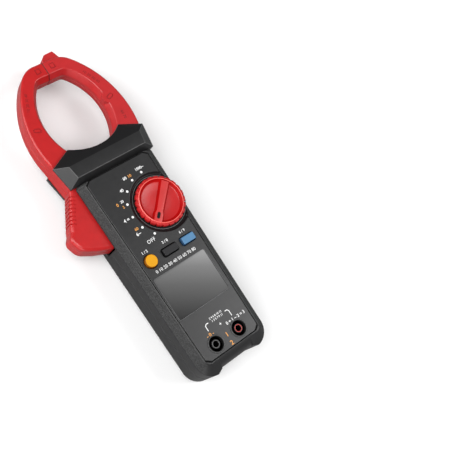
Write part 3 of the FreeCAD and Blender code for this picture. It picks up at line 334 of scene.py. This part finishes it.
# patches of faces with no sharp edge inside: the patch of each face, and each patch's rim and area
def findPatches(bm, limit):
    patch, rims, areas = {}, [], []
    for first in bm.faces:
        if first in patch:
            continue
        patch[first] = len(rims)
        rim, queue, area = [], [first], 0.0
        while queue:
            face = queue.pop()
            area += face.calc_area()
            for edge in face.edges:
                if len(edge.link_faces) != 2 or edge.calc_face_angle(0) > limit:
                    rim.append(edge)
                    continue
                for other in edge.link_faces:
                    if other not in patch:
                        patch[other] = len(rims)
                        queue.append(other)
        rims.append(rim)
        areas.append(area)
    return patch, rims, areas


# how far it is from an edge, across the face beside it, to the rim of that face's patch, or the
# room given if that is less
def roomBeside(edge, loop, rim, room):
    middle = (edge.verts[0].co + edge.verts[1].co) / 2
    along = (loop.link_loop_next.vert.co - loop.vert.co).normalized()
    inward = loop.face.normal.cross(along)
    for other in rim:
        a, b = (v.co - middle for v in other.verts)
        sideA, sideB = a.dot(along), b.dot(along)
        if other is edge or sideA * sideB > 0 or abs(sideA - sideB) < 1e-9:
            continue
        reach = a.dot(inward) + (b - a).dot(inward) * sideA / (sideA - sideB)
        if reach > 1e-6:
            room = min(room, reach)
    return room


# weighs each sharp edge by the room that the patches beside it leave for its rounding
def weighEdges(bm, width, smallest):
    weight = bm.edges.layers.float.new("bevel_weight_edge")
    limit = math.radians(rounding["angle"])
    patch, rims, areas = findPatches(bm, limit)
    for edge in bm.edges:
        if len(edge.link_faces) != 2 or edge.calc_face_angle(0) < limit:
            continue
        if min(areas[patch[face]] for face in edge.link_faces) < smallest:
            continue
        room = rounding["farthest"] * width
        for loop in edge.link_loops:
            room = roomBeside(edge, loop, rims[patch[loop.face]], room)
        share = min(1.0, rounding["share"] * room / width)
        edge[weight] = share if share > rounding["least"] else 0.0


# chamfers the rim of the faces that meet at a seam, in the seam's finish, which paints shade into the
# seam
def cutSeam(bm, seam):
    meeting = [f for f in bm.faces if f.material_index == seam]
    rim = {e for f in meeting for e in f.edges if any(g.material_index != seam for g in e.link_faces)}
    bmesh.ops.bevel(bm, geom=list(rim), offset=mm(rounding["seam"]), offset_type="OFFSET",
                    affect="EDGES", segments=1, profile=0.5, material=seam)
    weight = bm.edges.layers.float["bevel_weight_edge"]
    for face in bm.faces:
        if face.material_index == seam:
            for edge in face.edges:
                edge[weight] = 0.0


# copy of a solid with its edges rounded over; paint names a face's finish, or nothing for the first,
# seam and rim name the finishes of the seam and of the rounded edges, and edges beside a patch
# smaller than smallest square millimetres stay as they are
def softCopy(node, name, body, finish, width, paint=None, smallest=0.0, seam=None, rim=None,
             segments=2):
    bm = bmesh.new()
    bm.from_mesh(nodes[node].data)
    bmesh.ops.remove_doubles(bm, verts=bm.verts, dist=mm(rounding["weld"]))
    bm.normal_update()
    weighEdges(bm, mm(width), mm(1) ** 2 * smallest)
    flat = math.radians(rounding["flat"])
    bmesh.ops.dissolve_limit(bm, angle_limit=flat, verts=bm.verts, edges=bm.edges)
    slim = [f for f in bm.faces if len(f.verts) > rounding["slimSides"]
            and f.calc_area() < mm(rounding["slim"]) * f.calc_perimeter()]
    bmesh.ops.triangulate(bm, faces=slim)
    if paint:
        for face in bm.faces:
            chosen = paint(face.normal, face.calc_center_median() * 1000)
            face.material_index = finish.index(chosen) if chosen else 0
    if seam:
        cutSeam(bm, finish.index(seam))
    piece = addPiece(name, bm, body, finish, scale=False)
    soften(piece, width, segments, finish.index(rim) if rim else -1)
    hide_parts(node)


shell = {"frontWidth": 0.3, "rearWidth": 0.3, "doorWidth": 0.2, "panelWidth": 0.15, "lensWidth": 0.1}
recess = {"radius": 20.7, "depth": 2.2, "flat": 0.97}
groove = {"left": -21, "right": 25.0, "low": -61, "high": 75, "top": 0.3, "slope": 0.3}
collar = {"from": 85.0, "tilt": 0.15, "above": 4}
shoulders = {"tilt": 0.5, "up": 0.3, "lowest": 28.5, "from": -62.0, "to": 75.0}
panelSide = {"up": 0.2, "tilt": -0.8, "left": -20}


def inRecess(normal, centre):
    away = math.hypot(centre.x - dialX, centre.y - dialY)
    return away < recess["radius"] and normal.z < recess["flat"]


def paintFront(normal, centre):
    below = centre.z > faceTop - recess["depth"]
    # dial recess: painted shade
    if below and centre.z < faceTop and inRecess(normal, centre):
        return "recess"
    inGroove = centre.x < groove["right"] and groove["low"] < centre.y < groove["high"]
    sloping = groove["slope"] < normal.z < recess["flat"]
    # groove round the panel: black painted shade, and painted light at its left
    if below and centre.z < faceTop - groove["top"] and inGroove and not sloping:
        return "gapShade" if centre.x > groove["left"] else "leftGrooveLight"
    onCollar = centre.y > collar["from"] and centre.z > splitLevel + collar["above"]
    # the collar's upper facet: painted shade
    if onCollar and normal.y > collar["tilt"]:
        return "recess"
    onSide = abs(normal.x) > shoulders["tilt"] and normal.z > shoulders["up"]
    inRun = shoulders["from"] < centre.y < shoulders["to"] and centre.z > shoulders["lowest"]
    return "grip" if onSide and inRun else None


def paintPanel(normal, centre):
    # the panel's faces in the dial recess: painted shade
    if inRecess(normal, centre) and normal.z > panelSide["up"]:
        return "recess"
    # the panel's left side in the groove: painted light
    atLeft = normal.x < panelSide["tilt"] and centre.x < panelSide["left"]
    return "leftGrooveLight" if atLeft else None


# the front housing's rounded edges take the edge finish: painted highlight on the collar, painted shade
# elsewhere
softCopy("front_shell", "frontHousing", "housing",
         ["housing", "grip", "recess", "gapShade", "leftGrooveLight", "edge"],
         shell["frontWidth"], paintFront, rim="edge")
softCopy("rear_shell", "rearHousing", "housing", ["housing"], shell["rearWidth"])
softCopy("battery_door", "batteryDoor", "housing", ["housing"], shell["doorWidth"])
softCopy("face_panel", "facePlate", "housing", ["panel", "recess", "leftGrooveLight"],
         shell["panelWidth"], paintPanel)
print("stage: housing")

jaw = {"width": 0.35, "smallest": 36, "split": -1.0, "splitRoom": 0.3, "facing": 0.95,
       "deepest": 0.4, "shallowest": 0.02, "level": 0.99}


# engraved lines and meeting faces of the jaws, darker: painted shade
def paintJaw(normal, centre):
    if abs(normal.x) > jaw["facing"] and abs(centre.x - jaw["split"]) < jaw["splitRoom"]:
        return "jawSeamShade"
    engraved = jaw["shallowest"] < jawTop - centre.z < jaw["deepest"]
    return "knobShade" if engraved and abs(normal.z) > jaw["level"] else None


# the moving jaw takes the darker copy of the red, painted shade
for side, body, red in (("fixed", "housing", "jaw"), ("moving", "moving_jaw", "movingJaw")):
    for half in ("front", "rear"):
        softCopy(side + "_jaw_" + half, side + "Jaw" + half.title(), body,
                 [red, "knobShade", "jawSeamShade"], jaw["width"], paintJaw,
                 smallest=jaw["smallest"], seam="jawSeamShade")
print("stage: jaws")

knob = {"flutes": 24, "fluteDepth": 0.75, "fluteDrop": 0.3, "fluteNarrow": 2.5, "fluteFrom": 0.6,
        "ring": 14.9, "ringHalf": 0.3, "floor": 12.4, "dish": 2.0, "dishSag": 0.05, "steps": 288,
        "drop": 0.75, "skirt": 3.9, "pointer": 225, "weld": 0.02, "smooth": 50}


def turnToPointer(bm):
    bmesh.ops.rotate(bm, matrix=Matrix.Rotation(math.radians(knob["pointer"]), 3, "Z"), verts=bm.verts)
    bmesh.ops.translate(bm, vec=(dialX, dialY, 0), verts=bm.verts)


def buildKnob():
    top = knobHigh.z
    outer = (knobHigh.x - knobLow.x) / 2
    ring, floor = knob["ring"], knob["floor"]
    base, shoulder, dish = top - knob["skirt"], top - knob["drop"], top - knob["dish"]
    bm = revolve([
        (outer - 1.5, base), (outer - 0.2, base), (outer, base + 0.3),  # foot of the skirt
        (outer, shoulder - 0.5), (outer - 0.15, shoulder - 0.1), (outer - 0.5, shoulder),
        (outer - 1.3, shoulder + 0.15), (ring + 0.35, shoulder + 0.35),
        (ring + 0.2, top - 0.1), (ring, top), (ring - 0.25, top - 0.12), (ring - 0.6, top - 0.7),
        (floor + 0.6, dish + 0.25), (floor, dish),
        (floor / 2, dish - knob["dishSag"]), (0.01, dish - knob["dishSag"]),
    ], knob["steps"])
    bmesh.ops.remove_doubles(bm, verts=bm.verts, dist=knob["weld"])
    for v in bm.verts:
        r = v.co.xy.length
        wave = max(0.0, math.cos(knob["flutes"] * math.atan2(v.co.y, v.co.x))) ** knob["fluteNarrow"]
        if r > outer - knob["fluteFrom"]:
            v.co.xy *= 1 - wave * knob["fluteDepth"] / r
        if r > ring + knob["ringHalf"] and v.co.z > shoulder - 0.2:
            v.co.z -= wave * knob["fluteDrop"]
    bmesh.ops.recalc_face_normals(bm, faces=bm.faces)
    # the ring in painted highlight, the dish walls in painted shade, the band outside the ring in a
    # darker copy of the red, painted shade
    finish = ["knob", "knobEdgeHighlight", "knobWall", "knobRimShade"]
    for face in bm.faces:
        r = face.calc_center_median().xy.length
        if abs(r - ring) < knob["ringHalf"]:
            face.material_index = finish.index("knobEdgeHighlight")
        elif floor + 0.3 < r < ring:
            face.material_index = finish.index("knobWall")
        elif r > ring:
            face.material_index = finish.index("knobRimShade")
    turnToPointer(bm)
    piece = addPiece("dialKnob", bm, "dial", finish, smooth=knob["smooth"])
    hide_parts("dial_knob")


# bar that the fingers turn, wider at the pointer and drafted at its sides; the plan holds x and
# half width, and beyond the knee the top slopes down to the nose
gripBar = {"plan": [(-13.9, 2.45), (7.2, 1.95), (9.4, 2.65), (16.2, 2.65)], "sink": 0.05,
           "height": 2.3, "draft": 1.5, "knee": 14.9, "nose": 0.9, "shift": 0.3, "edge": 0.35,
           "edgeDepth": 1.2, "edgeAngle": 0.6, "wall": 0.7, "smooth": 40}


def buildGripBar():
    top = knobHigh.z - gripBar["sink"]
    plan, knee = gripBar["plan"], gripBar["knee"]
    outline = [(x, -half) for x, half in plan] + [(x, half) for x, half in reversed(plan)]
    bm = bmesh.new()
    crest = [bm.verts.new((x, y, top - (gripBar["nose"] if x > knee else 0))) for x, y in outline]
    foot = [bm.verts.new((x, y + math.copysign(gripBar["draft"], y), top - gripBar["height"]))
            for x, y in outline]
    bm.faces.new(crest)
    for i in range(len(outline)):
        j = (i + 1) % len(outline)
        bm.faces.new((crest[i], foot[i], foot[j], crest[j]))
    bm.faces.new(list(reversed(foot)))
    knees = []
    tip = len(plan)  # the outline's two points at the nose are tip - 1 and tip
    for near, far in ((crest[tip - 2], crest[tip - 1]), (crest[tip + 1], crest[tip])):
        share = (far.co.x - knee) / (far.co.x - near.co.x)
        made = bmesh.utils.edge_split(bm.edges.get((near, far)), far, share)[1]
        made.co = (knee, near.co.y, top)
        knees.append(made)
    bmesh.ops.connect_verts(bm, verts=knees)
    bmesh.ops.recalc_face_normals(bm, faces=bm.faces)
    rim = [e for e in bm.edges if all(v.co.z > top - gripBar["edgeDepth"] for v in e.verts)
           and e.calc_face_angle(0) > gripBar["edgeAngle"]]
    bmesh.ops.bevel(bm, geom=rim, offset=gripBar["edge"], offset_type="OFFSET", affect="EDGES",
                    segments=3, profile=0.5, material=-1)
    # the bar's top is a lighter copy of the knob red, painted light, and its sides painted shade
    for face in bm.faces:
        face.material_index = 1 if abs(face.normal.z) < gripBar["wall"] else 0
    bmesh.ops.translate(bm, vec=(0, gripBar["shift"], 0), verts=bm.verts)
    turnToPointer(bm)
    addPiece("dialBar", bm, "dial", ["knobBarLit", "knobWall"], smooth=gripBar["smooth"])


pointer = {"reach": 10.5, "length": 4.4, "width": 1.9, "height": 0.3, "sink": 0.35, "lift": 0.03,
           "rim": 0.25}


# black mark on the bar, painted shade for the pointer's slot, and the red rim round it in painted shade,
# a little lower
def buildPointer():
    for name, grow, lift, finish in (
            ("dialPointer", 0, pointer["lift"], "gapShade"),
            ("dialPointerRim", pointer["rim"], pointer["lift"] / 2, "knobShade")):
        bm = bmesh.new()
        bmesh.ops.create_circle(bm, cap_ends=True, segments=32, radius=pointer["width"] / 2 + grow)
        for v in bm.verts:
            v.co.x += math.copysign((pointer["length"] - pointer["width"]) / 2, v.co.x)
        grown = bmesh.ops.extrude_face_region(bm, geom=bm.faces[:])["geom"]
        raised = [g for g in grown if isinstance(g, bmesh.types.BMVert)]
        bmesh.ops.translate(bm, vec=(0, 0, pointer["height"]), verts=raised)
        level = knobHigh.z - pointer["sink"] + lift
        bmesh.ops.translate(bm, vec=(pointer["reach"], 0, level), verts=bm.verts)
        bmesh.ops.recalc_face_normals(bm, faces=bm.faces)
        turnToPointer(bm)
        piece = addPiece(name, bm, "dial", [finish])
        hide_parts("dial_pointer")


# lip at the foot of the recess, pale grey: a painted highlight
lip = {"depth": 1.98, "steps": 128,
       "profile": [(17.75, 0.0), (17.75, 0.22), (17.85, 0.3), (18.05, 0.3), (18.15, 0.2), (18.15, 0.0)]}

buildKnob()
buildGripBar()
buildPointer()
buildRing("recessLip", dialX, dialY, faceTop - lip["depth"], lip["profile"], lip["steps"], "lip")
print("stage: dial")

ink = {"height": 0.04, "weight": 0.015, "curveSteps": 3}


def printText(name, words, x, y, size, finish, turn=0.0, level=faceTop, body="housing",
              slot="panel_plastic", weight=ink["weight"], spacing=1.0):
    curve = bpy.data.curves.new(name, "FONT")
    curve.body = words
    curve.size = mm(size)
    curve.offset = mm(size * weight)
    curve.space_character = spacing
    curve.extrude = mm(ink["height"] / 2)
    curve.align_x = "CENTER"
    curve.align_y = "CENTER"
    curve.resolution_u = ink["curveSteps"]
    holder = bpy.data.objects.new(name + "Curve", curve)
    mesh = bpy.data.meshes.new_from_object(holder)
    bpy.data.objects.remove(holder)
    mesh.transform(Matrix.Rotation(math.radians(turn), 4, "Z"))
    mesh.transform(Matrix.Translation((mm(x), mm(y), mm(level + ink["height"] / 2))))
    piece = bpy.data.objects.new(name, mesh)
    bpy.context.scene.collection.objects.link(piece)
    mesh.materials.clear()
    mesh.materials.append(finishes[finish])
    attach(piece, body)


def printDisc(name, x, y, radius):
    bm = bmesh.new()
    bmesh.ops.create_cone(bm, cap_ends=True, segments=24, radius1=radius, radius2=radius,
                          depth=ink["height"])
    bmesh.ops.translate(bm, vec=(x, y, faceTop + ink["height"] / 2), verts=bm.verts)
    addPiece(name, bm, "housing", ["white"])


def printLine(name, points, width, finish="white", closed=False):
    bm = bmesh.new()
    verts = [bm.verts.new((x, y, faceTop)) for x, y in points]
    following = verts[1:] + verts[:1] if closed else verts[1:]
    edges = [bm.edges.new(pair) for pair in zip(verts, following)]
    grown = bmesh.ops.extrude_edge_only(bm, edges=edges)["geom"]
    raised = [g for g in grown if isinstance(g, bmesh.types.BMVert)]
    bmesh.ops.translate(bm, vec=(0, 0, ink["height"]), verts=raised)
    bmesh.ops.recalc_face_normals(bm, faces=bm.faces)
    bmesh.ops.solidify(bm, geom=bm.verts[:] + bm.edges[:] + bm.faces[:], thickness=width)
    bmesh.ops.recalc_face_normals(bm, faces=bm.faces)
    addPiece(name, bm, "housing", [finish])


dots = {"reach": 22.33, "first": 90, "step": 22.5, "count": 7, "radius": 0.8}
for i in range(dots["count"]):
    angle = math.radians(dots["first"] + i * dots["step"])
    printDisc(f"dialDot{i}", dialX + dots["reach"] * math.cos(angle),
              dialY + dots["reach"] * math.sin(angle), dots["radius"])

# name, words, x, y, height of the letters and finish
legends = [
    ("dialText0", "1000~", 12.9, 66.8, 2.6, "white"),
    ("dialText1", "60", 0.2, 65.3, 2.8, "white"),
    ("dialText1b", "10", 4.0, 65.3, 2.8, "orange"),
    ("dialText2", "40", -6.2, 59.4, 2.8, "white"),
    ("dialText3", "0", -14.0, 52.6, 3.0, "orange"),
    ("dialText3b", "20", -10.2, 53.2, 2.4, "white"),
    ("dialText3c", "2", -11.2, 49.7, 2.4, "orange"),
    ("dialText4", "4 =", -14.4, 41.6, 3.2, "white"),
    ("dialText5", "60", -12.1, 33.8, 2.6, "orange"),
    ("dialText5b", "6~", -12.6, 30.6, 3.2, "white"),
    ("dialText6", "OFF", -7.9, 22.9, 3.4, "white"),
    ("buttonText0", "1 / 2", -16.2, 18.8, 2.5, "white"),
    ("buttonText1", "3 / 0", -0.4, 18.2, 2.5, "white"),
    ("buttonText2", "6 / 9", 13.6, 18.1, 2.5, "white"),
    ("scaleText", "0 10 20 30 40 50 60 70 80", -1.0, 4.3, 3.0, "white"),
    ("jackText0", "2 4 6 8 10 12", 0.7, -37.9, 1.9, "white"),
    ("jackText0b", "1 3 5 7 9 11", 0.9, -40.0, 1.9, "white"),
    ("jackText1", "0 + 1 ~ 2 = 3", 11.6, -46.4, 2.9, "white"),
    ("jackText1b", "+", 0.4, -44.4, 3.2, "white"),
    ("jackText2", "- 0 -", -9.6, -46.3, 3.3, "orange"),
    ("jackText3", "1", 0.2, -52.2, 4.2, "orange"),
    ("jackText4", "2", 0.0, -58.1, 4.2, "orange"),
]
fineLegends = {"dialText6": {"weight": 0.0, "spacing": 1.1}, "scaleText": {"weight": 0.0}}
for legend in legends:
    printText(*legend, **fineLegends.get(legend[0], {}))

# name, words, x, y, turn and body
jawLegends = [
    ("jawText0", "10 20 30 40", 23.6, 136.2, -64, "housing"),
    ("jawText1", "60 70", 28.3, 104.1, -95, "housing"),
    ("jawText2", "10 20 30 40", -24.6, 137.7, 66, "moving_jaw"),
]
jawLetters = 2.7
# the engraved letters are drawn as raised prints in a darker red, painted shade
for name, words, x, y, turn, body in jawLegends:
    printText(name, words, x, y, jawLetters, "jawLetterShade", turn, jawTop, body, "jaw_red", weight=0.0)

jackRings = {"steps": 64, "height": 0.06, "crown": 0.12,
             "post": {"inner": 2.15, "outer": 2.44, "sink": 0.02},
             "well": {"inner": 5.45, "outer": 5.8, "sink": 0.08}}


# thin raised ring on a jack's post or round its well
def buildJackRing(name, jack, part, finish):
    ring = jackRings[part]
    inner, outer, height = ring["inner"], ring["outer"], jackRings["height"]
    profile = [(inner, 0.0), (inner, height), ((inner + outer) / 2, jackRings["crown"]),
               (outer, height), (outer, 0.0)]
    centre = (low(jack + "_jack_well") + high(jack + "_jack_well")) / 2
    level = high(jack + "_jack_" + part).z - ring["sink"]
    buildRing(name, centre.x, centre.y, level, profile, jackRings["steps"], finish)


# the ring on each post is the post's own colour; the ring round each well is a painted highlight
for jack, finish, slot in (("common", "post", "post_grey"), ("input", "redPost", "post_red")):
    buildJackRing(jack + "JackRing", jack, "post", finish)
    buildJackRing(jack + "JackRim", jack, "well", "lip")

displayLine = {"corner": 1.45, "cornerSteps": 3, "outset": 0.2, "width": 0.2}


# fine outline round the display
def outlineDisplay():
    corner, outset = displayLine["corner"], displayLine["outset"]
    a, b = low("display_window"), high("display_window")
    left, right = a.x - outset + corner, b.x + outset - corner
    bottom, top = a.y - outset + corner, b.y + outset - corner
    points = []
    for x, y, start in ((right, bottom, -90), (right, top, 0), (left, top, 90), (left, bottom, 180)):
        for step in range(displayLine["cornerSteps"] + 1):
            turn = math.radians(start + 90 / displayLine["cornerSteps"] * step)
            points.append((x + corner * math.cos(turn), y + corner * math.sin(turn)))
    printLine("displayOutline", points, displayLine["width"], "lip", closed=True)


brackets = {"width": 0.5,
            "left": [(-9.5, -43.8), (-9.5, -40.4), (-8.3, -39.2), (-6.4, -39.2)],
            "right": [(7.7, -39.1), (9.5, -39.1), (10.6, -40.4), (10.6, -43.9)]}
outlineDisplay()
printLine("bracketLeft", brackets["left"], brackets["width"])
printLine("bracketRight", brackets["right"], brackets["width"])
print("stage: prints")

softCopy("display_window", "displayWindow", "housing", ["lens"], shell["lensWidth"])

button = {"width": 0.45, "segments": 3, "up": 0.9}
# each button's sides and rounded edge take the darker copy of its colour, painted shade
for tone in ("yellow", "grey", "blue"):
    wall = tone + "Wall"
    softCopy(tone + "_button", tone + "Cap", tone + "_button", [tone, wall],
             button["width"], lambda normal, centre: None if normal.z > button["up"] else wall,
             rim=wall, segments=button["segments"])
print("stage: buttons")

# finishes of the solids that are shown as they are
nodeFinishes = {
    "natural": ["lcd_glass", "backlight_panel", "dial_rotor", "detent_ring", "yellow_dome",
                "grey_dome", "blue_dome"],
    "black": ["lcd_bezel", "main_chip", "buzzer", "common_jack_well", "common_jack_post",
              "input_jack_well", "input_jack_post"],
    "redPost": ["lcd_strips"],
    "board": ["main_board"],
    # the jack contacts nearly black, painted shade
    "shadedContact": ["common_jack_contact", "input_jack_contact"],
    "brass": ["dial_wipers", "battery_plates"],
    "copper": ["fixed_winding", "moving_winding"],
    "steel": ["board_screws", "detent_balls", "detent_springs", "battery_cells", "battery_springs",
              "battery_door_screw", "housing_screws", "fixed_core", "moving_core", "jaw_pivot_pin",
              "jaw_spring"],
}
for finish, shown in nodeFinishes.items():
    for node in shown:
        for slot in nodes[node].material_slots:
            slot.material = finishes[finish]
print("stage: solids")

# the rest of this file is in metres
ground = {"half": 4.0, "below": 0.0002, "lit": 0.35, "seen": 0.95, "rough": 0.8, "specular": 0.1,
          "fadeFrom": 0.45, "fadeTo": 1.3}


# pale floor that fades to white, to the camera only, far from the meter
def buildFloor():
    bm = bmesh.new()
    bmesh.ops.create_grid(bm, x_segments=1, y_segments=1, size=ground["half"])
    mesh = bpy.data.meshes.new("floor")
    bm.to_mesh(mesh)
    bm.free()
    floor = bpy.data.objects.new("floor", mesh)
    bpy.context.scene.collection.objects.link(floor)
    floor.location.z = cadBox[0][2] - ground["below"]
    w = Wiring("paleFloor")
    path = w.nodes.new("ShaderNodeLightPath")
    blend = w.nodes.new("ShaderNodeMix")
    blend.data_type = "RGBA"
    blend.inputs["A"].default_value = (ground["lit"], ground["lit"], ground["lit"], 1)
    blend.inputs["B"].default_value = (ground["seen"], ground["seen"], ground["seen"], 1)
    w.links.new(path.outputs["Is Camera Ray"], blend.inputs["Factor"])
    w.feed(blend.outputs["Result"], "Base Color")
    w.shader.inputs["Roughness"].default_value = ground["rough"]
    w.shader.inputs["Specular IOR Level"].default_value = ground["specular"]
    away = w.nodes.new("ShaderNodeVectorMath")
    away.operation = "LENGTH"
    w.links.new(w.place, away.inputs[0])
    fade = w.within(away.outputs["Value"], ground["fadeFrom"], ground["fadeTo"])
    glow = w.nodes.new("ShaderNodeMath")
    glow.operation = "MULTIPLY"
    w.links.new(fade, glow.inputs[0])
    w.links.new(path.outputs["Is Camera Ray"], glow.inputs[1])
    w.shader.inputs["Emission Color"].default_value = (1, 1, 1, 1)
    w.feed(glow.outputs["Value"], "Emission Strength")
    mesh.materials.append(w.material)


# place, size and power of each lamp
lamps = {
    "overhead": ((0.65, -0.25, 0.8), 0.7, 5.6),
    "left": ((-0.55, 0.1, 0.97), 0.8, 8.2),
    "low": ((-0.75, -0.55, 0.2), 0.9, 4.5),
    "side": ((-0.8, 0.5, 0.3), 0.8, 6.5),
}
lampAim = Vector((0, 0.04, 0))


def addLamp(name, place, size, power):
    lamp = bpy.data.lights.new(name, "AREA")
    lamp.shape = "DISK"
    lamp.size = size
    lamp.energy = power
    holder = bpy.data.objects.new(name, lamp)
    holder.location = place
    holder.rotation_euler = (lampAim - Vector(place)).to_track_quat("-Z", "Y").to_euler()
    bpy.context.scene.collection.objects.link(holder)


sky = {"seen": 1.0, "light": 0.23}


# white to the camera, dim to the meter
def buildSky():
    world = bpy.data.worlds.new("world")
    bpy.context.scene.world = world
    world.use_nodes = True
    tree = world.node_tree
    path = tree.nodes.new("ShaderNodeLightPath")
    level = tree.nodes.new("ShaderNodeMapRange")
    level.inputs["To Min"].default_value = sky["light"]
    level.inputs["To Max"].default_value = sky["seen"]
    tree.links.new(path.outputs["Is Camera Ray"], level.inputs["Value"])
    background = tree.nodes["Background"]
    tree.links.new(level.outputs["Result"], background.inputs["Strength"])
    background.inputs["Color"].default_value = (1, 1, 1, 1)


view = {"place": (-0.23664, -0.01726, 0.52229), "turn": (19.33, -23.126, -36.869), "lens": 69.03,
        "sensor": 36, "near": 0.01}


def buildCamera():
    camera = bpy.data.cameras.new("camera")
    camera.lens = view["lens"]
    camera.sensor_width = view["sensor"]
    camera.clip_start = view["near"]
    holder = bpy.data.objects.new("camera", camera)
    holder.location = view["place"]
    holder.rotation_euler = [math.radians(a) for a in view["turn"]]
    bpy.context.scene.collection.objects.link(holder)
    bpy.context.scene.camera = holder


buildFloor()
for name, lamp in lamps.items():
    addLamp(name, *lamp)
buildSky()
bpy.context.scene.view_settings.view_transform = "Standard"
buildCamera()
print("stage: studio")
